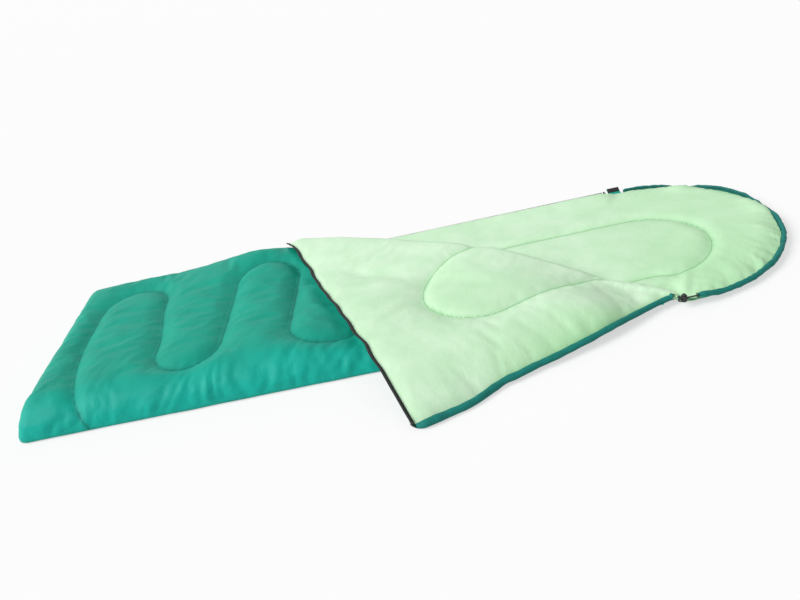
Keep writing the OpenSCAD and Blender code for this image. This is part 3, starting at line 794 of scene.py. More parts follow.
def cloth_colour(tree, shader, face, mottle_and_seam_shade, pattern, fold_size, seam, side=None):
    """A dye mixed with a deeper one by broad random mottling and by painted shade along the sewn lines, and
    with a third colour by painted shading: painted sheen down the shell's near side, painted shade on the
    lining.
    """
    # The third colour: painted sheen down the shell's near side, painted shade on the lining in the hood and
    # on the turned-back part
    painted_shading = add(tree, "ShaderNodeAttribute", attribute_name="painted_shading")
    face = add(tree, "ShaderNodeMix", {FACTOR: painted_shading.outputs["Fac"], FIRST: (*face, 1),
                                       SECOND: (*(side or face), 1)}, data_type="RGBA")
    mottle = add(tree, "ShaderNodeTexNoise", {"Vector": pattern, "Scale": 1 / fold_size, "Detail": 3.0})
    # Painted shade: the seam attribute darkens the cloth along sewn lines, the hem's edge, the hood's rim and
    # bound seams, as strongly as seam gives; the mottle is random tone
    sewn = add(tree, "ShaderNodeAttribute", attribute_name="sewn")
    worn = add(tree, "ShaderNodeMapRange", {"Value": mottle.outputs["Fac"], "From Min": 0.3, "From Max": 0.75,
                                           "To Min": 0.0, "To Max": 0.35})
    dark = add(tree, "ShaderNodeMath", {0: sewn.outputs["Fac"], 1: seam}, operation="MULTIPLY")
    share = add(tree, "ShaderNodeMath", {0: worn.outputs["Result"], 1: dark.outputs["Value"]},
                operation="ADD", use_clamp=True)
    colour = add(tree, "ShaderNodeMix", {FACTOR: share.outputs["Value"], FIRST: face.outputs[MIXED],
                                        SECOND: (*mottle_and_seam_shade, 1)}, data_type="RGBA")
    tree.links.new(colour.outputs[MIXED], shader.inputs["Base Color"])


def cloth_relief(tree, shader, pattern, thread, crease, crease_depth, thread_depth):
    """Bump of a plain weave and of the fine creases of handled cloth."""
    bands = {"Vector": pattern, "Scale": wave_scale(thread)}
    warp = add(tree, "ShaderNodeTexWave", bands, bands_direction="X")
    weft = add(tree, "ShaderNodeTexWave", bands, bands_direction="Y")
    weave = add(tree, "ShaderNodeMath", {0: warp.outputs["Fac"], 1: weft.outputs["Fac"]},
                operation="MULTIPLY")
    fine = add(tree, "ShaderNodeBump", {"Height": weave.outputs["Value"], "Distance": thread_depth,
                                       "Strength": 0.5})
    handled = add(tree, "ShaderNodeTexNoise", {"Vector": pattern, "Scale": 1 / crease, "Detail": 4.0,
                                              "Roughness": 0.55, "Distortion": 0.8})
    relief = add(tree, "ShaderNodeBump", {"Height": handled.outputs["Fac"], "Distance": crease_depth,
                                         "Strength": 0.6, "Normal": fine.outputs["Normal"]})
    tree.links.new(relief.outputs["Normal"], shader.inputs["Normal"])


def polyester_taffeta():
    """Dyed polyester in a dense plain weave: a soft gleam, and dry creases that stay in it."""
    material, tree, shader = start_material(
        "polyester_taffeta", Roughness=0.5, Specular_IOR_Level=0.14, Sheen_Weight=0.03, Sheen_Roughness=0.4,
        Sheen_Tint=(*colours().shell, 1))
    pattern = add(tree, "ShaderNodeAttribute", attribute_name="pattern").outputs["Vector"]
    # Painted shade along the sewn lines with random mottling, and painted sheen, lighter and bluer, down the
    # near side
    cloth_colour(tree, shader, colours().shell, colours().shell_deep, pattern, 0.09, 0.5,
                 colours().shell_side)
    # The real threads are 0.2 mm apart: 2.4 mm is what a close view can show
    cloth_relief(tree, shader, pattern, 0.0024, 0.024, 0.0022, 0.0003)
    return material


def binding_tape():
    """Polyester binding woven in fine ribs, dyed a shade deeper than the shell: matt, randomly mottled, with
    painted shade along its seam.
    """
    material, tree, shader = start_material("binding_tape", Roughness=0.65, Specular_IOR_Level=0.2)
    pattern = add(tree, "ShaderNodeAttribute", attribute_name="pattern").outputs["Vector"]
    # Painted shade along the seam of the hem and the hood's casing, down to a third of the binding's colour,
    # with random mottling
    cloth_colour(tree, shader, colours().binding, [0.3 * c for c in colours().binding], pattern, 0.03, 0.9)
    # The real ribs are 0.5 mm apart: 2 mm is what a close view can show
    cloth_relief(tree, shader, pattern, 0.002, 0.014, 0.002, 0.0003)
    return material


def brushed_polyester():
    """Soft polyester lining, brushed on its face: matt and pale, with a short nap."""
    material, tree, shader = start_material(
        "brushed_polyester", Roughness=0.8, Specular_IOR_Level=0.15, Sheen_Weight=0.06, Sheen_Roughness=0.6,
        Sheen_Tint=(*colours().lining, 1))
    pattern = add(tree, "ShaderNodeAttribute", attribute_name="pattern").outputs["Vector"]
    # Painted shade along the sewn lines with random mottling, and painted shade on the turned-back part and
    # in the hood
    cloth_colour(tree, shader, colours().lining, colours().lining_deep, pattern, 0.07, 0.6,
                 colours().lining_side)
    # The real threads are 0.25 mm apart: 2.4 mm is what a close view can show
    cloth_relief(tree, shader, pattern, 0.0024, 0.024, 0.0016, 0.0003)
    return material


def sewing_thread(name, colour):
    """Twisted polyester thread, a little deeper than the cloth it sews."""
    material, tree, shader = start_material(name, Roughness=0.6, Specular_IOR_Level=0.3)
    place = add(tree, "ShaderNodeTexCoord").outputs["Object"]
    twist = add(tree, "ShaderNodeTexNoise", {"Vector": place, "Scale": 1 / 0.0015})
    shade = add(tree, "ShaderNodeMix", {FACTOR: twist.outputs["Fac"], FIRST: (*colour, 1),
                                       SECOND: (*[0.7 * c for c in colour], 1)}, data_type="RGBA")
    tree.links.new(shade.outputs[MIXED], shader.inputs["Base Color"])
    return material


def patterned(name, colour, feature, depth, spread, **values):
    """A dark finish, mottled and in relief on Object coordinates, with features of that size."""
    material, tree, shader = start_material(name, **values)
    place = add(tree, "ShaderNodeTexCoord").outputs["Object"]
    grain = add(tree, "ShaderNodeTexNoise", {"Vector": place, "Scale": 1 / feature, "Detail": 3.0})
    dark = [c * (1 - spread) for c in colour]
    light = [min(1, c * (1 + spread)) for c in colour]
    shade = add(tree, "ShaderNodeMix", {FACTOR: grain.outputs["Fac"], FIRST: (*dark, 1),
                                       SECOND: (*light, 1)}, data_type="RGBA")
    tree.links.new(shade.outputs[MIXED], shader.inputs["Base Color"])
    relief = add(tree, "ShaderNodeBump", {"Height": grain.outputs["Fac"], "Distance": depth, "Strength": 0.5})
    tree.links.new(relief.outputs["Normal"], shader.inputs["Normal"])
    return material


def shared(make):
    """The material that make returns, made once."""
    found = bpy.data.materials.get(make.__name__)
    return found or make()


def woven_tape():
    """Woven polyester tape: matt and ribbed along its length."""
    return patterned("woven_tape", colours().tape, 0.0016, 0.0004, 0.35, Roughness=0.8, Sheen_Weight=0.1)


def nylon_coil():
    """Drawn nylon, coiled into teeth: dark with a plastic gleam."""
    return patterned("nylon_coil", colours().coil, 0.002, 0.0001, 0.25, Roughness=0.38)


def enamelled_zinc():
    """Die-cast zinc under black enamel: smooth and glossy."""
    return patterned("enamelled_zinc", colours().metal, 0.004, 0.00008, 0.2, Roughness=0.3, Coat_Weight=0.3)


def moulded_acetal():
    """Injection-moulded acetal: black, with a fine spark-eroded skin."""
    return patterned("moulded_acetal", colours().toggle, 0.0012, 0.00012, 0.25, Roughness=0.42)


def braided_cord():
    """Braided polyester cord: matt and dark, with a lively surface."""
    return patterned("braided_cord", colours().cord, 0.0014, 0.0005, 0.45, Roughness=0.75)


class BAG_OT_top_quilt(bpy.types.Operator):
    """Sew the top quilt: its shell, which runs down the near side and the foot, and its lining"""

    bl_idname = "bag.top_quilt"
    bl_label = "Top quilt"

    def execute(self, context):
        s = sizes()
        line = top_line()
        bm = flat_cloth(
            (FOOT_X - FOOT_SPARE, -HALF_W - NEAR_SPARE), (HEAD_X, HALF_W + FAR_SPARE), s.cell)
        cut_away(bm, FOLD_START, FOLD_NORMAL)
        for v in bm.verts:
            beyond = max(0.0, v.co.y - HALF_W) * FOLD_DIR.x / -FOLD_DIR.y
            v.co.x += beyond * smooth((v.co.x - FOLD_START.x + 0.2) / 0.15)
        near = sew(bm, line, s.cell)
        take_pattern(bm)
        hold = [held(v, seam, low_end(*v.co.xy)) for v, seam in zip(bm.verts, near)]
        painted_shading = bm.verts.layers.float["painted_shading"]
        for v, seam in zip(bm.verts, near):
            # Painted sheen: the shell turns lighter and bluer down the near side
            v[painted_shading] = smooth(1.25 - (v.co.y + HALF_W + NEAR_SPARE) / NEAR_ROLL[1])
            v.co = top_place(v.co.x, v.co.y, *seam)
        shell = finish_piece(bm, "top_shell_cloth", shared(polyester_taffeta))
        settle(shell, hold, push=0.8, shrink=-0.007, reach=0.012)
        thicken(shell, s.fabric)
        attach(shell, "bag")
        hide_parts("top_shell", "side_panel", "foot_panel")

        bm = flat_cloth((FOOT_X + 0.04, -HALF_W + 0.035), (HEAD_X, HALF_W - 0.004), 0.03)
        cut_away(bm, FOLD_START, FOLD_NORMAL)
        cut_away(bm, (FOOT_X + LINING_CORNER, HALF_W), (-1, 1))
        take_pattern(bm)
        for v in bm.verts:
            v.co.z = POCKET_Z + 0.0015 * ripple(v.co.x, v.co.y, 0.1, 2.0)
            across = fold_share(v.co.x, v.co.y)[1]
            depth = mix(COVERED_TOP_LINING, PRESSED_TOP_LINING, low_end(*v.co.xy))
            v.co.z = min(v.co.z, flap_bed(v.co.x, v.co.y, max(0.0, -across)) - depth)
        bmesh.ops.reverse_faces(bm, faces=bm.faces[:])
        lining = finish_piece(bm, "top_lining_cloth", shared(brushed_polyester))
        thicken(lining, s.fabric)
        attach(lining, "bag")
        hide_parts("top_lining", "top_batting")

        def uncovered(x, y):
            return fold_share(x, y)[1] < -0.01 and -HALF_W - NEAR_SPARE < y

        def on_top(x, y):
            return top_place(x, y, 0, 0, 1) + Vector((0, 0, s.thread))

        thread = sewing_thread("shell_thread", [0.8 * c for c in colours().shell_deep])
        row = stitches("top_stitches", line, uncovered, on_top, thread)
        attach(row, "bag")
        return {"FINISHED"}


class BAG_OT_base_quilt(bpy.types.Operator):
    """Sew the base quilt: its lining with the sewn arch, and its shell"""

    bl_idname = "bag.base_quilt"
    bl_label = "Base quilt"

    def execute(self, context):
        s = sizes()
        line = base_line()
        bm = flat_cloth((FOOT_X + 0.008, -HALF_W + 0.003), (HOOD_TIP_X, HALF_W - 0.003), s.cell * 1.1)
        cuts, least_out = 48, 0.12
        rim = HALF_W - 0.012
        for k in range(cuts + 1):
            a = math.pi * (k / cuts - 0.5)
            out = Vector((math.cos(a), math.sin(a)))
            if out.x > least_out:
                cut_away(bm, Vector((HOOD_X, 0)) + rim * out, out)
        cut_away(bm, (FOOT_X + LINING_CORNER, HALF_W), (-1, 1))
        near = sew(bm, line, s.cell * 1.1)
        take_pattern(bm)
        hold = []
        for v, seam in zip(bm.verts, near):
            pressed = low_end(*v.co.xy) * smooth(-fold_share(*v.co.xy)[1] / 0.03)
            hold.append(held(v, seam, pressed))
        sewn, painted_shading = bm.verts.layers.float["sewn"], bm.verts.layers.float["painted_shading"]
        for v, seam in zip(bm.verts, near):
            if v.co.x > HEAD_X:
                # Painted shade on the lining along the hood's rim, where it dips under the casing
                v[sewn] = max(v[sewn], math.exp(-max(0.0, base_rim(v.co.x, v.co.y) - 0.014) / 0.006))
            # Painted shade: the lining darker in the hood, more so towards its near side
            in_hood = smooth((v.co.x - 0.45) / 0.4)
            v[painted_shading] = 0.1 + in_hood * (0.28 + 0.25 * smooth((0.1 - v.co.y) / 0.4))
            v.co = base_place(v.co.x, v.co.y, *seam)
        lining = finish_piece(bm, "base_lining_cloth", shared(brushed_polyester))
        settle(lining, hold, push=0.5, shrink=-0.008, reach=0.008)
        thicken(lining, s.fabric)
        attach(lining, "bag")
        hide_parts("base_lining", "base_batting")

        shell = self.shell()
        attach(shell, "bag")
        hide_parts("base_shell")

        def in_hood(x, y):
            return fold_share(x, y)[1] > 0

        def on_lining(x, y):
            return base_place(x, y, 0, 0, 1) + Vector((0, 0, s.thread))

        thread = sewing_thread("lining_thread", [0.75 * c for c in colours().lining_deep])
        row = stitches("base_stitches", line, in_hood, on_lining, thread)
        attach(row, "bag")
        return {"FINISHED"}

    def shell(self):
        """The tray of outer cloth under the base quilt, upright beside the body and drawn under the hood."""
        bm = new_cloth()
        # Inset from the edge beside the body and round the hood, and height
        profile = ((0.030, 0.080, 0.0012), (0.008, 0.046, 0.0025), (0.002, 0.026, 0.008), (0.0, 0.014, 0.015),
                   (0.002, 0.012, BASE_EDGE_Z + 0.001))
        rings = [self.ring(bm, *step) for step in profile]
        for low, high in zip(rings, rings[1:]):
            bmesh.ops.bridge_loops(bm, edges=low + high)
        bmesh.ops.edgeloop_fill(bm, edges=rings[0])
        take_pattern(bm)
        pattern = bm.verts.layers.float_vector["pattern"]
        for v in bm.verts:
            if v.co.x > HOOD_X:
                turn = math.atan2(v.co.y, v.co.x - HOOD_X) * HALF_W
                v[pattern] = Vector((HOOD_X + turn, v.co.z, 0))
                out = Vector((v.co.x - HOOD_X, v.co.y, 0)).normalized()
                v.co += 0.0025 * ripple(turn, v.co.z, 0.018, 3.1) * smooth(v.co.z / 0.01) * out
                sag = RIM_SAG * rim_sag(math.atan2(v.co.y, v.co.x - HOOD_X))
                into_casing = smooth((v.co.z - 0.016) / 0.005) * smooth((v.co.x - BARE_RIM_X) / 0.02)
                v.co.z += (0.005 - sag) * into_casing
            elif v.co.z > 0.004:
                v[pattern] = Vector((v.co.x, v.co.z, 0))
            if v.co.y < 0:
                v.co.y += TRAY_INSET * smooth((HEAD_X - v.co.x) / 0.1)
            else:
                v.co.y -= TRAY_INSET * smooth((FOOT_X + 0.12 - v.co.x) / 0.06)
            v.co.x += TRAY_INSET * smooth((FOOT_X + 0.1 - v.co.x) / 0.1)
            v.co = drawn_in(v.co, TUCK)
        bmesh.ops.recalc_face_normals(bm, faces=bm.faces[:])
        return finish_piece(bm, "base_shell_cloth", shared(polyester_taffeta))

    def ring(self, bm, inset, hood_inset, z):
        """Edges of one ring of the tray: round the hood, along the body and round the foot's two corners."""
        side = HALF_W - inset
        plan = []
        for p in bend((HOOD_X, 0), HALF_W, -90, 90, 0.005):
            under = smooth((p.x - BARE_RIM_X + 0.01) / 0.03) if p.y > 0 else 1.0
            plan.append(Vector((HOOD_X, 0)).lerp(p, 1 - mix(inset, hood_inset, under) / HALF_W))
        plan += straight((HEAD_X, side), (FOOT_X + FAR_FOOT_CORNER, side), 0.03)
        for far, first, corner in ((1, 90, FAR_FOOT_CORNER), (-1, 180, FOOT_CORNER)):
            plan += bend((FOOT_X + corner, far * (HALF_W - corner)), corner - inset, first, first + 90, 0.006)
        plan += straight((FOOT_X + FOOT_CORNER, -side), (HEAD_X, -side), 0.03)
        verts = [bm.verts.new((p.x, p.y, z)) for p in plan]
        return [bm.edges.new(pair) for pair in zip(verts, verts[1:] + verts[:1])]


# Where the rolled fold begins to turn with the flap, over what height, and its lean to the foot
TURN_FROM_Z = 0.03
TURN_HEIGHT = 0.085
TURN_LEAN = 0.5
# Half the width over which the turned-back part bends at the bag's near edge
DRAPE_HALF = 0.02


def fold_over(piece):
    """Lets a piece turn with the flap, from the foot of the rolled fold to its top."""
    start = Vector((*FOLD_START, TURN_FROM_Z))
    lean = Vector((*(-TURN_LEAN * FOLD_NORMAL), 1.0))
    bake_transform(piece, "bag", "flap", start, start + TURN_HEIGHT / lean.length_squared * lean)


def drape(piece):
    """Lets a piece of the turned-back part bend where it falls past the bag's near edge."""
    start, end = (0, -HALF_W + DRAPE_HALF, FOLD_Z), (0, -HALF_W - DRAPE_HALF, FOLD_Z)
    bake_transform(piece, "flap", "flap_corner", start, end)


class BAG_OT_turned_back(bpy.types.Operator):
    """Sew the part of the top quilt that is turned back: its lining rolled over the fold, and its shell"""

    bl_idname = "bag.turned_back"
    bl_label = "Turned-back part"

    def execute(self, context):
        s = sizes()
        line = flap_line()
        bm = flat_cloth((FOLD_START.x - 0.1, -HALF_W - 0.13), (HEAD_X - HEM_HALF, HALF_W), s.cell)
        cut_away(bm, FOLD_START, -FOLD_DIR)
        cut_away(bm, FOLD_END, FOLD_DIR)
        cut_away(bm, FOLD_START - ROLL_ARC * FOLD_NORMAL, -FOLD_NORMAL)
        near = sew(bm, line, s.cell)
        take_pattern(bm)
        hold = []
        for v, seam in zip(bm.verts, near):
            across = fold_share(v.co.x, v.co.y)[1]
            hold.append(held(v, seam, mix(0.25, FREE_HOLD, smooth(across / 0.1))))
        sewn, painted_shading = bm.verts.layers.float["sewn"], bm.verts.layers.float["painted_shading"]
        pattern = bm.verts.layers.float_vector["pattern"]
        for v, seam in zip(bm.verts, near):
            # Painted shade on the lining along its edge at the hem
            v[sewn] = max(v[sewn], math.exp(-(HEAD_X - HEM_HALF - v.co.x) / 0.006))
            v.co = flap_place(v.co.x, v.co.y, *seam)
            fall, hem_run = hem_fall(v.co.x, v.co.y)
            across = fold_share(*v[pattern].xy)[1]
            # Painted shade on the turned-back lining: away from the fold, where it falls to the hem, and
            # inside its sewn arch
            v[painted_shading] = 0.16 * smooth(across / 0.35) + 0.75 * smooth(fall) * smooth((0.85 - hem_run) / 0.5)
            if seam[2] < 0:
                v[painted_shading] += 0.25 * smooth(seam[1] / 0.03) * smooth((across - 0.03) / 0.08)
        bmesh.ops.reverse_faces(bm, faces=bm.faces[:])
        lining = finish_piece(bm, "turned_lining", shared(brushed_polyester))
        settle(lining, hold, push=0.8, shrink=-0.004, reach=0.012)
        self.split(lining)

        bm = flat_cloth((FOLD_START.x, -HALF_W), (HEAD_X - HEM_HALF, HALF_W), s.cell * 1.4)
        cut_away(bm, FOLD_START, -FOLD_NORMAL)
        take_pattern(bm)
        for v in bm.verts:
            v.co = flap_under(v.co.x, v.co.y)
        shell = finish_piece(bm, "turned_shell_cloth", shared(polyester_taffeta))
        drape(shell)
        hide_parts("flap_shell", "corner_shell")

        self.inner_shell()

        def low(x, y):
            run, across = fold_share(x, y)
            return run > LOW_END_RUN and across > PAST_ROLL

        def turned(x, y):
            return fold_share(x, y)[1] > -ROLL_ARC and not low(x, y)

        def on_lining(x, y):
            return flap_place(x, y, 0, 0, 1) + Vector((0, 0, s.thread))

        row = stitches("turned_stitches", line, turned, on_lining, bpy.data.materials["lining_thread"])
        fold_over(row)
        low_row = stitches("turned_low_stitches", line, low, on_lining, bpy.data.materials["lining_thread"])
        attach(low_row, "flap")
        return {"FINISHED"}

    def inner_shell(self):
        """The shell inside the low end of the fold, from the top quilt's edge to the turned-back part."""
        turn_in, lap, blend_width = 0.02, 0.035, 0.022
        tuck, skin, slope = 0.004, 0.0008, 0.083

        def inside(run, past):
            x, y = FOLD_START + run * FOLD_DIR
            if past < turn_in:
                share = past / turn_in
                place = top_place(x, y, *UNSEWN).lerp(flap_under(x, y), share)
                return place + tuck * math.sin(math.pi * share) * FOLD_NORMAL.to_3d()
            across = (past - turn_in) * smooth((run - LOW_END_RUN) / (0.1 * FOLD_LEN))
            x, y = Vector((x, y)) + across * FOLD_NORMAL
            return flap_under(x, y) - Vector((0, 0, skin))

        strip = ribbon("fold_shell_cloth", (LOW_END_RUN, 0), (FOLD_LEN - 0.02, turn_in + lap), 0.0025, inside,
                       shared(polyester_taffeta))
        # The strip bends along the line where the turned-back shell begins
        out = slope * FOLD_DIR - FOLD_NORMAL
        start = FOLD_START + 0.78 * FOLD_LEN * FOLD_DIR - 0.002 * FOLD_NORMAL
        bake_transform(strip, "bag", "flap", start.to_3d(), (start + blend_width * out).to_3d())

    def past_roll(self, face):
        """Above 0 where the lining lies flat beside the low end of the fold, past its roll."""
        run, towards_hood = fold_share(*face.calc_center_median().xy)
        return min(run - LOW_END_RUN, -PAST_ROLL - towards_hood)

    def cut_roll(self, mesh):
        """Cuts the lining's faces along the lines past which it goes with the turned-back part."""
        bm = bmesh.new()
        bm.from_mesh(mesh)
        for at, normal in ((LOW_END_RUN * FOLD_DIR, FOLD_DIR), (-PAST_ROLL * FOLD_NORMAL, FOLD_NORMAL)):
            faces = [f for f in bm.faces if fold_share(*f.calc_center_median().xy)[0] > LOW_END_RUN - 0.02]
            edges = {e for f in faces for e in f.edges}
            verts = {v for f in faces for v in f.verts}
            bmesh.ops.bisect_plane(bm, geom=[*verts, *edges, *faces], dist=1e-5,
                                   plane_co=(FOLD_START + at).to_3d(), plane_no=normal.to_3d())
        bm.to_mesh(mesh)
        bm.free()

    def split(self, lining):
        """Cuts the lining at the bag's near edge, so that each half bends across one joint."""
        mesh = lining.data
        self.cut_roll(mesh)
        normals = {tuple(round(c, 6) for c in v.co): v.normal.copy() for v in mesh.vertices}
        a, b = Vector((-0.25, -HALF_W + 0.04)), FOLD_END - Vector((0.05, 0.02))
        across = Vector((b.y - a.y, a.x - b.x))
        halves = []
        for name, sign in (("fold_and_flap_lining", 1), ("corner_lining_cloth", -1)):
            piece = lining.copy()
            piece.data = mesh.copy()
            piece.name = piece.data.name = name
            bpy.context.scene.collection.objects.link(piece)
            bm = bmesh.new()
            bm.from_mesh(piece.data)
            gone = []
            for face in bm.faces:
                over_edge = (face.calc_center_median().to_2d() - a).dot(across)
                if sign * max(over_edge, self.past_roll(face)) > 0:
                    gone.append(face)
            bmesh.ops.delete(bm, geom=gone, context="FACES")
            bm.to_mesh(piece.data)
            bm.free()
            piece.data.normals_split_custom_set_from_vertices(
                [normals[tuple(round(c, 6) for c in v.co)] for v in piece.data.vertices])
            halves.append(piece)
        bpy.data.objects.remove(lining)
        fold_over(halves[0])
        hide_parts("fold_lining", "fold_batting", "flap_lining", "flap_batting")
        drape(halves[1])
        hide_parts("corner_lining", "corner_batting")


# Trim


# Where round a bound edge its seam runs, with painted shade along it, as a share of a whole turn from the
# outside over the top
SEAM_TURN = 0.42


def sleeve(name, runs, sides, size, place, material):
    """A flat piece rolled into a tube, each point put where place says for its run (0 to 1) and its turn."""
    bm = new_cloth()
    bmesh.ops.create_grid(bm, x_segments=runs, y_segments=sides, size=0.5)
    pattern = bm.verts.layers.float_vector["pattern"]
    sewn = bm.verts.layers.float["sewn"]
    for v in bm.verts:
        run, turn = v.co.x + 0.5, v.co.y + 0.5
        v[pattern] = Vector((run * size[0], turn * size[1], 0))
        # Painted shade along the seam
        v[sewn] = math.exp(-((turn - SEAM_TURN) / 0.06) ** 2)
        v.co = place(run, 2 * math.pi * turn)
    bmesh.ops.remove_doubles(bm, verts=bm.verts[:], dist=1e-6)
    bmesh.ops.recalc_face_normals(bm, faces=bm.faces[:])
    return finish_piece(bm, name, material)


def ribbon(name, low, high, cell, place, material):
    """A flat strip of tape, each point put where place says for its place in the strip."""
    bm = flat_cloth(low, high, cell)
    take_pattern(bm)
    for v in bm.verts:
        v.co = place(v.co.x, v.co.y)
    bmesh.ops.recalc_face_normals(bm, faces=bm.faces[:])
    return finish_piece(bm, name, material)


def block(bm, low, high, edge):
    """A block between two corners with rounded edges. Returns its points."""
    low, high = Vector(low), Vector(high)
    made = bmesh.ops.create_cube(
        bm, size=1, matrix=Matrix.Translation((low + high) / 2) @ Matrix.Diagonal((*(high - low), 1)))
    edges = {e for v in made["verts"] for e in v.link_edges}
    rounded = bmesh.ops.bevel(
        bm, geom=list(edges), offset=edge, offset_type="OFFSET", affect="EDGES", segments=3, profile=0.5,
        material=-1)
    return rounded["verts"]


def repeat(bm, count, step):
    """Repeats all that the mesh holds in a row, in order."""
    bmesh.ops.spin(
        bm, geom=bm.verts[:] + bm.edges[:] + bm.faces[:], cent=(0, 0, 0), axis=(0, 0, 1), dvec=step,
        angle=0, steps=count - 1, use_duplicate=True)


def lathe(bm, profile, at, axis, closed=False):
    """Spins a profile of radius and height points round an axis through a point."""
    before = set(bm.verts)
    chain = [bm.verts.new((r, 0, z)) for r, z in profile]
    pairs = list(zip(chain, chain[1:] + chain[:1]))
    edges = [bm.edges.new(pair) for pair in (pairs if closed else pairs[:-1])]
    bmesh.ops.spin(
        bm, geom=chain + edges, cent=(0, 0, 0), axis=(0, 0, 1), angle=2 * math.pi, steps=36, use_merge=True)
    made = [v for v in bm.verts if v not in before]
    turn = Vector(axis).to_track_quat("Z", "X").to_matrix().to_4x4()
    bmesh.ops.transform(bm, verts=made, matrix=Matrix.Translation(at) @ turn)
    bmesh.ops.remove_doubles(bm, verts=made, dist=1e-6)
    bmesh.ops.recalc_face_normals(bm, faces=bm.faces[:])


def cord_curve(name, strands, radius, material, cyclic=False):
    """A round cord of one or more strands, each along its points."""
    curve = bpy.data.curves.new(name, "CURVE")
    curve.dimensions = "3D"
    curve.bevel_depth = radius
    curve.bevel_resolution = 4
    curve.use_fill_caps = True
    for places in strands:
        spline = curve.splines.new("POLY")
        spline.points.add(len(places) - 1)
        for point, place in zip(spline.points, places):
            point.co = (*place, 1)
        spline.use_cyclic_u = cyclic
        spline.use_smooth = True
    curve.materials.append(material)
    piece = bpy.data.objects.new(name, curve)
    bpy.context.scene.collection.objects.link(piece)
    return piece


def middle(node):
    low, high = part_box(node)
    return (low + high) / 2


CHAIN_OUT = middle("zip_coil_base").y - HALF_W
COIL_R = (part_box("zip_coil_base")[1].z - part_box("zip_coil_base")[0].z) / 2
TURNED_COIL_Z = middle("zip_coil_flap").z
TAPE_TUCK = 0.014
TAPE_LAP = 0.0007
TAPE_CELL = 0.0035
TAPE_THICKNESS = 0.0006
TAPE_LIFT = 0.0016
# Distance of the turned-back teeth from both ends of their tape
TEETH_INSET = 0.012


def zip_edge(x):
    """The zip's edge of the turned-back lining, at a place along the closed zip."""
    return flap_place(x, HALF_W, *UNSEWN)


def turned_tape(x, out):
    """A point of the turned-back tape: sewn on the lining, then up to its teeth."""
    if out <= 0:
        return flap_place(x, HALF_W + out, *UNSEWN) + Vector((0, 0, TAPE_LIFT))
    edge = zip_edge(x)
    teeth_lift = TURNED_COIL_Z - zip_edge(FOLD_START.x + 0.3).z - COIL_R
    lift = mix(TAPE_LIFT, teeth_lift, smooth(out / CHAIN_OUT))
    return edge + out * ZIP_OUT.to_3d() + Vector((0, 0, lift))


class BAG_OT_hem(bpy.types.Operator):
    """Bind the head edge of the turned-back part, and sew on the loop patch of the closing tab"""

    bl_idname = "bag.hem"
    bl_label = "Hem"

    def execute(self, context):
        half_across, half_tall = 0.0098, 0.0082

        def bound(run, turn):
            y = mix(-HALF_W, HALF_W + 0.004, run)
            edge = flap_place(HEAD_X - HEM_HALF, y, *UNSEWN)
            closing = swell(run * 2 * HALF_W, 0.012) * swell((1 - run) * 2 * HALF_W, 0.03)
            full = closing * mix(0.85, 1.15, run) * (1 + 0.12 * ripple(y, math.sin(turn) * 0.01, 0.024, 5.5))
            middle_z = max(edge.z - 0.003, half_tall * full + 0.001)
            out = 0.004 + half_across * full * math.cos(turn) + 0.002 * ripple(y, 0, 0.06, 8.8)
            place = edge.to_2d() + out * TURNED_ZIP
            return Vector((*place, middle_z + half_tall * full * math.sin(turn)))

        flat_size = (2 * HALF_W, 2 * math.pi * half_tall)
        binding = sleeve("hem_binding", 150, 20, flat_size, bound, shared(binding_tape))
        drape(binding)
        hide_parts("corner_hem")

        def patch(x, y):
            return flap_under(x, y) - Vector((0, 0, 0.0008 + 0.0006 * abs(ripple(x, y, 0.002, 1.0))))

        low, high = (HEAD_X - 0.062, HALF_W - 0.037), (HEAD_X - 0.022, HALF_W - 0.012)
        loops = ribbon("loop_patch_pile", low, high, 0.0012, patch, shared(woven_tape))
        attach(loops, "flap_corner")
        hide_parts("loop_patch")
        return {"FINISHED"}


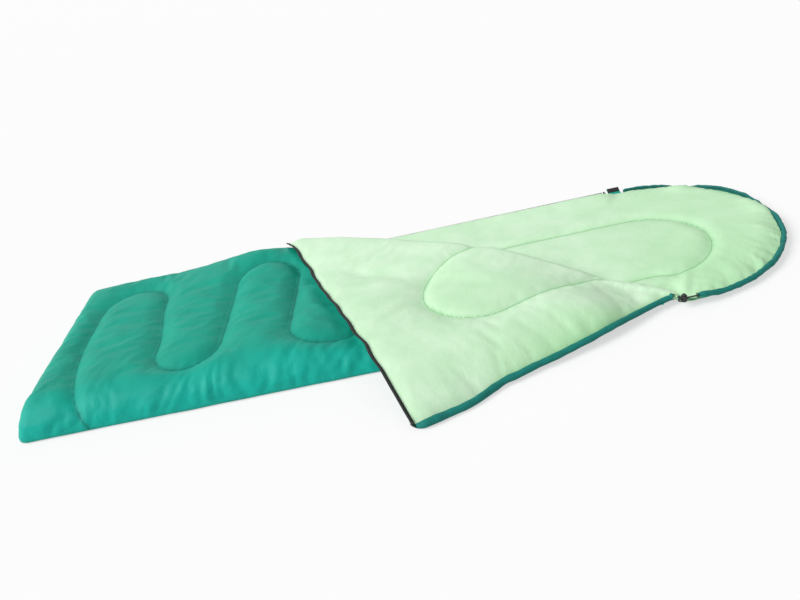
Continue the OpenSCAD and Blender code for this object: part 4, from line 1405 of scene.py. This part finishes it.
class BAG_OT_zip(bpy.types.Operator):
    """Sew on the zip: its tapes, its teeth and its stops, and thread on the slider with its pull"""

    bl_idname = "bag.zip"
    bl_label = "Zip"

    def execute(self, context):
        self.tapes()
        self.teeth()
        self.stops()
        self.slider()
        self.pull()
        return {"FINISHED"}

    def tapes(self):
        self.upright_tape("zip_tape_base", -1, BASE_EDGE_Z - TAPE_LAP)
        self.upright_tape("zip_tape_top", 1, ZIP_EDGE_Z + TAPE_LAP)
        low = (FOLD_START.x + 0.010, -0.0016)
        high = (HEAD_X - 0.001, CHAIN_OUT + 0.0015)
        tape = ribbon("zip_tape_turned", low, high, TAPE_CELL, turned_tape, shared(woven_tape))
        thicken(tape, TAPE_THICKNESS, 0)
        drape(tape)
        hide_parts("zip_tape_flap", "zip_tape_corner")

    def upright_tape(self, node, rim, away):
        """A tape sewn to an edge of the bag at that height, out to its teeth and then down (1) or up (-1)."""
        low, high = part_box(node)
        end = low.x - TAPE_TUCK

        def upright(x, run):
            out = min(run, CHAIN_OUT)
            z = away - rim * (run - out) + 0.0004 * ripple(x, 0, 0.02, rim)
            tucked = smooth((x - end) / TAPE_TUCK)
            return Vector((x, HALF_W - 0.0002 - 0.004 * (1 - tucked) + out * tucked, z))

        wide = CHAIN_OUT + high.z - low.z - 0.0005
        tape = ribbon(node + "_cloth", (end, 0), (high.x, wide), TAPE_CELL, upright, shared(woven_tape))
        thicken(tape, TAPE_THICKNESS, 0)
        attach(tape, "bag")
        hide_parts(node)

    def teeth(self):
        pitch = sizes().tooth_pitch
        for node, shift in (("zip_coil_base", 0), ("zip_coil_top", 0.5)):
            low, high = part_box(node)
            axis = middle(node)
            count = int((high.x - low.x) / pitch)
            places = [Vector((low.x + (k + 0.5 + shift) * pitch, axis.y, axis.z)) for k in range(count)]
            row = self.row(node + "_teeth", places, Vector((1, 0, 0)), Vector((0, 1, 0)))
            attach(row, "bag")
            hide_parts(node)
        count = int((HEAD_X - TEETH_INSET - FOLD_START.x - TEETH_INSET) / pitch)
        places = []
        for k in range(count):
            place = turned_tape(FOLD_START.x + TEETH_INSET + (k + 0.5) * pitch, CHAIN_OUT)
            places.append(place + Vector((0, 0, COIL_R)))
        row = self.row("zip_teeth_turned", places, TURNED_ZIP.to_3d(), ZIP_OUT.to_3d())
        drape(row)
        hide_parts("zip_coil_flap", "zip_coil_corner")

    def row(self, name, places, ahead, out):
        """A row of teeth, each a leaning loop of the coil."""
        bm = bmesh.new()
        lean = Matrix.Rotation(math.radians(20), 3, out)
        frame_of = Matrix((lean @ ahead, out, lean @ Vector((0, 0, 1)))).transposed().to_4x4()
        shape = frame_of @ Matrix.Diagonal((0.36 * sizes().tooth_pitch, COIL_R, 1.15 * COIL_R, 1))
        bmesh.ops.create_uvsphere(bm, u_segments=6, v_segments=5, radius=1, matrix=shape)
        repeat(bm, len(places), (1, 0, 0))
        for v in bm.verts:
            k = round(v.co.x)
            v.co += places[k] - Vector((k, 0, 0))
        teeth = finish_piece(bm, name, shared(nylon_coil))
        return teeth

    def stops(self):
        """Clamps pressed over the ends of the teeth."""
        for node in ("zip_stop_base", "zip_bottom_stop"):
            self.clamp(node, *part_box(node), "bag")
        end = turned_tape(HEAD_X - 0.009, CHAIN_OUT) + Vector((0, 0, COIL_R))
        reach = Vector((0.0032, 0.0032, 0.0024))
        self.clamp("zip_stop_corner", end - reach, end + reach, "flap_corner")

    def clamp(self, node, low, high, body):
        bm = bmesh.new()
        block(bm, low, high, 0.0008)
        groove = Vector((0, 0.0002, 0))
        third = Vector(((high.x - low.x) / 3, 0, 0))
        block(bm, low + third - groove, high - third + groove, 0.0003)
        clamp = finish_piece(bm, node + "_clamp", shared(enamelled_zinc))
        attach(clamp, body)
        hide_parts(node)

    def slider(self):
        """Two plates with flanges that hold the teeth, a wedge that parts them, and a bridge for the pull."""
        low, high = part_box("slider_body")
        pin = Vector(JOINTS["pull_swing"]["pos_m"])
        chain = middle("zip_coil_base").y
        gap, plate, flange = COIL_R + 0.0008, 0.002, 0.0009
        bm = bmesh.new()
        for side in (-1, 1):
            inner, outer = sorted((chain + side * gap, chain + side * (gap + plate)))
            block(bm, (low.x, inner, low.z), (high.x, outer, high.z), 0.0009)
            for z in (low.z, high.z - flange):
                lip = sorted((chain + side * (gap + 0.0002), chain + side * (gap - 0.0017)))
                block(bm, (low.x + 0.001, lip[0], z), (high.x - 0.002, lip[1], z + flange), 0.0003)
        for v in bm.verts:
            tail = smooth((low.x + 0.016 - v.co.x) / 0.016)
            v.co.z = pin.z + (v.co.z - pin.z) * (1 - 0.26 * tail)
        overlap, half_wedge = 0.0004, 0.0007
        block(bm, (high.x - 0.006, chain - gap - overlap, pin.z - half_wedge),
              (high.x, chain + gap + overlap, pin.z + half_wedge), 0.0003)
        cheek, half_cheek, reach, pin_r = 0.0011, 0.0028, 0.0046, 0.0012
        for z in (pin.z - reach, pin.z + reach - cheek):
            block(bm, (pin.x - half_cheek, chain + gap + plate - overlap, z),
                  (pin.x + half_cheek, high.y, z + cheek), 0.0004)
        lathe(bm, ((0, -reach), (pin_r, -reach), (pin_r, reach), (0, reach)), pin, (0, 0, 1))
        body = finish_piece(bm, "slider_body_cast", shared(enamelled_zinc))
        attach(body, "zip_slider")
        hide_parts("slider_body")

    def pull(self):
        """A tapered tongue with raised grip bars and an eye that turns on the slider's pin."""
        low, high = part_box("slider_pull")
        pin = Vector(JOINTS["pull_swing"]["pos_m"])
        bore, rim = 0.0015, 0.0026
        bm = bmesh.new()
        block(bm, (low.x, pin.y - 0.0013, low.z), (pin.x - bore - 0.0004, pin.y + 0.0013, high.z), 0.0012)
        for k in range(4):
            x = low.x + 0.004 + 0.0034 * k
            block(bm, (x, low.y + 0.0004, low.z + 0.001),
                  (x + 0.0015, high.y - 0.0004, high.z - 0.001), 0.0005)
        for v in bm.verts:
            waist = smooth((v.co.x - low.x - 0.014) / 0.012)
            v.co.z = pin.z + (v.co.z - pin.z) * (1 - 0.3 * waist)
        tall = 0.7 * (high.z - low.z) / 2
        lathe(bm, ((bore, -tall), (rim, -tall), (rim, tall), (bore, tall)), pin, (0, 0, 1), closed=True)
        tongue = finish_piece(bm, "slider_pull_tongue", shared(moulded_acetal))
        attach(tongue, "zip_pull")
        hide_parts("slider_pull")


class BAG_OT_hood(bpy.types.Operator):
    """Gather the hood's casing on its drawcord, and fit the eyelet and the cord lock"""

    bl_idname = "bag.hood"
    bl_label = "Hood"

    def execute(self, context):
        self.casing()
        self.cord()
        self.lock()
        return {"FINISHED"}

    def casing(self):
        low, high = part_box("hood_casing")
        tube = (high.z - low.z) / 2
        ring = HALF_W - tube
        level = (low.z + high.z) / 2
        sweep = math.acos((low.x - HOOD_X) / ring)
        length_m = 2 * sweep * ring
        pitch = sizes().pleat_pitch

        def gathered(run, turn):
            angle = mix(-sweep, sweep, run)
            along = angle * ring
            pleat = ripple(along, 0, pitch, 2.4) + 0.5 * ripple(along, math.cos(turn) * pitch, pitch / 2, 6.1)
            closing = mix(0.65, 1, smooth(run * length_m / 0.015))
            closing *= swell((1 - run) * length_m + 0.0002, 0.015)
            full = (0.84 + 0.18 * pleat) * closing
            out = ring - 0.002 + 0.0022 * ripple(along, 0, 0.05, 4.4) + tube * full * math.cos(turn)
            lift = 0.0035 * math.exp(-((math.degrees(angle) - 34) / 12) ** 2) - 0.010 * casing_cover(angle)
            lift -= RIM_SAG * rim_sag(angle)
            z = level + lift + 0.0012 * ripple(along, 0, 0.04, 7.7) + tube * full * math.sin(turn)
            return Vector((HOOD_X + out * math.cos(angle), out * math.sin(angle), z))

        flat_size = (length_m, 2 * math.pi * tube)
        casing = sleeve("hood_casing_gathered", round(length_m / 0.0035), 16, flat_size, gathered,
                        shared(binding_tape))
        thicken(casing, sizes().fabric)
        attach(casing, "bag")
        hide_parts("hood_casing")

        eyelet_low, eyelet_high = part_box("cord_eyelet")
        at = middle("cord_eyelet")
        outer, half = (eyelet_high.z - eyelet_low.z) / 2, (eyelet_high.x - eyelet_low.x) / 2
        bore, soft = 0.0027, 0.0006
        profile = ((bore, -half), (outer - soft, -half), (outer, 0), (outer - soft, half / 2),
                   (bore + 0.002, half), (bore + soft, half * 0.9), (bore, half * 0.3))
        bm = bmesh.new()
        lathe(bm, profile, at, (-1, 0, 0), closed=True)
        eyelet = finish_piece(bm, "cord_eyelet_ring", shared(enamelled_zinc))
        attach(eyelet, "bag")
        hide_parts("cord_eyelet")

    def cord(self):
        """The drawcord's end, from the casing through the lock to its knot."""
        exit_at = middle("cord_eyelet")
        end_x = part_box("hood_drawcord")[0].x + 0.003
        radius = 0.002
        count = 24
        points = [Vector((mix(exit_at.x, end_x, k / count), exit_at.y, exit_at.z)) for k in range(count + 1)]
        tail = cord_curve("drawcord_tail", [points], radius, shared(braided_cord))
        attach(tail, "bag")
        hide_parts("hood_drawcord")
        turns = 48
        size = 0.0025
        loops = []
        for k in range(turns):
            a = 2 * math.pi * k / turns
            loops.append(Vector((end_x + 0.0005 + size * 1.3 * math.sin(3 * a),
                                 exit_at.y + size * (math.sin(a) + 2 * math.sin(2 * a)),
                                 exit_at.z + size * (math.cos(a) - 2 * math.cos(2 * a)))))
        knot = cord_curve("drawcord_knot", [loops], radius * 0.8, shared(braided_cord), cyclic=True)
        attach(knot, "bag")

    def lock(self):
        """A sprung cord lock: a turned barrel with a collar round the cord, and a domed button."""
        low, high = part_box("cord_lock_body")
        at = middle("cord_lock_body")
        r, half = (high.x - low.x) / 2, (high.z - low.z) / 2
        mouth = 0.0058
        bm = bmesh.new()
        groove, soft, well = r - 0.0007, r - 0.0004, half - 0.004
        profile = ((0, -half), (r - 0.0015, -half), (soft, -half + 0.0005), (r, -half + 0.0016), (r, -0.0018),
                   (groove, -0.0012), (groove, 0.0012), (r, 0.0018), (r, half - 0.0016),
                   (soft, half - 0.0005), (r - 0.0014, half), (mouth, half), (mouth, well), (0, well))
        lathe(bm, profile, at, (0, 0, 1))
        for side in (-1, 1):
            lathe(bm, ((0.0025, 0), (0.0042, 0), (0.0042, 0.0008), (0.0036, 0.0012), (0.0025, 0.0012)),
                  at + Vector((side * (r - 0.0008), 0, 0)), (side, 0, 0), closed=True)
        barrel = finish_piece(bm, "cord_lock_barrel", shared(moulded_acetal))
        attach(barrel, "cord_lock")
        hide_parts("cord_lock_body")

        low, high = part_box("cord_lock_button")
        r, tall = (high.x - low.x) / 2 - 0.0001, high.z - low.z
        bm = bmesh.new()
        lathe(bm, ((0, 0), (r - 0.0005, 0), (r, 0.0005), (r, tall - 0.0022), (r - 0.0005, tall - 0.0009),
                   (r - 0.0018, tall - 0.0002), (0.002, tall - 0.0006), (0, tall - 0.0007)),
              Vector((at.x, at.y, low.z)), (0, 0, 1))
        button = finish_piece(bm, "cord_lock_button_dome", shared(moulded_acetal))
        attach(button, "lock_button")
        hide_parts("cord_lock_button")
        bpy.data.objects["cord_lock_spring"].data.materials[0] = shared(enamelled_zinc)


class BAG_OT_tab(bpy.types.Operator):
    """Sew the closing tab at the top of the zip: its strap and its hook patch"""

    bl_idname = "bag.tab"
    bl_label = "Closing tab"

    def execute(self, context):
        low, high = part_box("tab_strap")
        reach = high.y - low.y

        def curl(y):
            return 0.008 * ((y - low.y) / reach) ** 2

        def strap_place(x, y):
            return Vector((x, y, middle("tab_strap").z + curl(y) + 0.0005 * ripple(x, y, 0.012, 3.0)))

        strap = ribbon("tab_strap_cloth", low.xy, high.xy, 0.0022, strap_place, shared(polyester_taffeta))
        thicken(strap, high.z - low.z - 0.0008, 0)
        soften = strap.modifiers.new("edge", "BEVEL")
        soften.width = 0.0005
        soften.segments = 2
        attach(strap, "tab")
        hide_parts("tab_strap")

        patch_low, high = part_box("tab_hook")
        bm = bmesh.new()
        pitch = 0.0021
        at = (patch_low.x + 0.003, patch_low.y + 0.0025, patch_low.z + 0.001)
        bmesh.ops.create_cone(bm, cap_ends=True, segments=6, radius1=0.0003, radius2=0.0005, depth=0.001,
                              matrix=Matrix.Translation(at))
        repeat(bm, int((high.x - patch_low.x - 0.004) / pitch), (pitch, 0, 0))
        repeat(bm, int((high.y - patch_low.y - 0.004) / pitch), (0, pitch, 0))
        base = block(bm, (patch_low.x + 0.001, patch_low.y, patch_low.z - 0.0002),
                     (high.x - 0.001, high.y - 0.001, patch_low.z + 0.0006), 0.0003)
        edges = {e for v in base for e in v.link_edges}
        across = [e for e in edges if abs((e.verts[0].co - e.verts[1].co).y) > pitch]
        bmesh.ops.subdivide_edges(bm, edges=across, cuts=6, use_grid_fill=True)
        for v in bm.verts:
            v.co.z += curl(v.co.y)
        hooks = finish_piece(bm, "tab_hook_patch", shared(woven_tape))
        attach(hooks, "tab")
        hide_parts("tab_hook")
        return {"FINISHED"}


class BAG_OT_stage(bpy.types.Operator):
    """Lay the floor, light it softly from above and place the camera"""

    bl_idname = "bag.stage"
    bl_label = "Stage"

    def execute(self, context):
        scene = context.scene
        scene.view_settings.view_transform = "Standard"
        bm = bmesh.new()
        bmesh.ops.create_grid(bm, x_segments=1, y_segments=1, size=30)
        mesh = bpy.data.meshes.new("floor")
        bm.to_mesh(mesh)
        bm.free()
        floor = bpy.data.objects.new("floor", mesh)
        scene.collection.objects.link(floor)
        material, tree, shader = start_material("studio_paper", Roughness=0.9, Specular_IOR_Level=0.1)
        shader.inputs["Base Color"].default_value = (*colours().floor, 1)
        bright = self.seen_directly(tree)
        glow = add(tree, "ShaderNodeEmission", {"Color": (1, 1, 1, 1), "Strength": 1.0})
        share = add(tree, "ShaderNodeMath", {0: bright, 1: 0.6}, operation="MULTIPLY")
        paper = add(tree, "ShaderNodeMixShader", {0: share.outputs["Value"], 1: shader.outputs["BSDF"],
                                                 2: glow.outputs["Emission"]})
        tree.links.new(paper.outputs["Shader"], tree.nodes["Material Output"].inputs["Surface"])
        mesh.materials.append(material)

        world = bpy.data.worlds.new("studio")
        scene.world = world
        world.use_nodes = True
        tree = world.node_tree
        strength = add(tree, "ShaderNodeMapRange", {"Value": self.seen_directly(tree),
                                                   "To Min": 0.42, "To Max": 1.0})
        background = tree.nodes["Background"]
        background.inputs["Color"].default_value = (1, 1, 1, 1)
        tree.links.new(strength.outputs["Result"], background.inputs["Strength"])

        lamp = bpy.data.lights.new("window", "SUN")
        lamp.energy = 2.7
        lamp.angle = math.radians(35)
        window = bpy.data.objects.new("window", lamp)
        window.rotation_euler = Vector((0.73, 0.20, -0.66)).to_track_quat("-Z", "Y").to_euler()
        scene.collection.objects.link(window)

        camera = bpy.data.cameras.new("camera")
        camera.lens = CAMERA_LENS
        camera.sensor_width = SENSOR_W
        seat = bpy.data.objects.new("camera", camera)
        turn = (Matrix.Rotation(CAMERA_YAW - math.pi / 2, 4, "Z")
                @ Matrix.Rotation(math.pi / 2 - CAMERA_PITCH, 4, "X")
                @ Matrix.Rotation(CAMERA_ROLL, 4, "Z"))
        seat.matrix_world = Matrix.Translation(CAMERA_AT) @ turn
        scene.collection.objects.link(seat)
        scene.camera = seat
        return {"FINISHED"}

    def seen_directly(self, tree):
        """1 for what is seen straight, in a reflection or through glass, and 0 for light on things."""
        path = add(tree, "ShaderNodeLightPath").outputs
        seen = add(tree, "ShaderNodeMath", {0: path["Is Camera Ray"], 1: path["Is Glossy Ray"]},
                   operation="ADD")
        seen = add(tree, "ShaderNodeMath", {0: seen.outputs["Value"], 1: path["Is Transmission Ray"]},
                   operation="ADD", use_clamp=True)
        return seen.outputs["Value"]


class BAG_PT_sewing(bpy.types.Panel):
    """The steps of sewing the bag, and its sizes and colours"""

    bl_idname = "BAG_PT_sewing"
    bl_label = "Sleeping bag"
    bl_space_type = "VIEW_3D"
    bl_region_type = "UI"
    bl_category = "Sleeping bag"

    def draw(self, context):
        for step in STEPS:
            self.layout.operator(step.bl_idname)
        for group in (sizes(), colours()):
            for name in group.__annotations__:
                self.layout.prop(group, name)


STEPS = (BAG_OT_stage, BAG_OT_hood, BAG_OT_top_quilt, BAG_OT_base_quilt, BAG_OT_turned_back, BAG_OT_hem,
         BAG_OT_zip, BAG_OT_tab)
CLASSES = (BagSizes, BagColours, *STEPS, BAG_PT_sewing)


def register():
    for cls in CLASSES:
        bpy.utils.register_class(cls)
    bpy.types.Scene.bag_sizes = PointerProperty(type=BagSizes)
    bpy.types.Scene.bag_colours = PointerProperty(type=BagColours)


def unregister():
    del bpy.types.Scene.bag_colours
    del bpy.types.Scene.bag_sizes
    for cls in reversed(CLASSES):
        bpy.utils.unregister_class(cls)


def main():
    register()
    for step in STEPS:
        family, name = step.bl_idname.split(".")
        getattr(getattr(bpy.ops, family), name)()


if __name__ == "__main__":
    main()
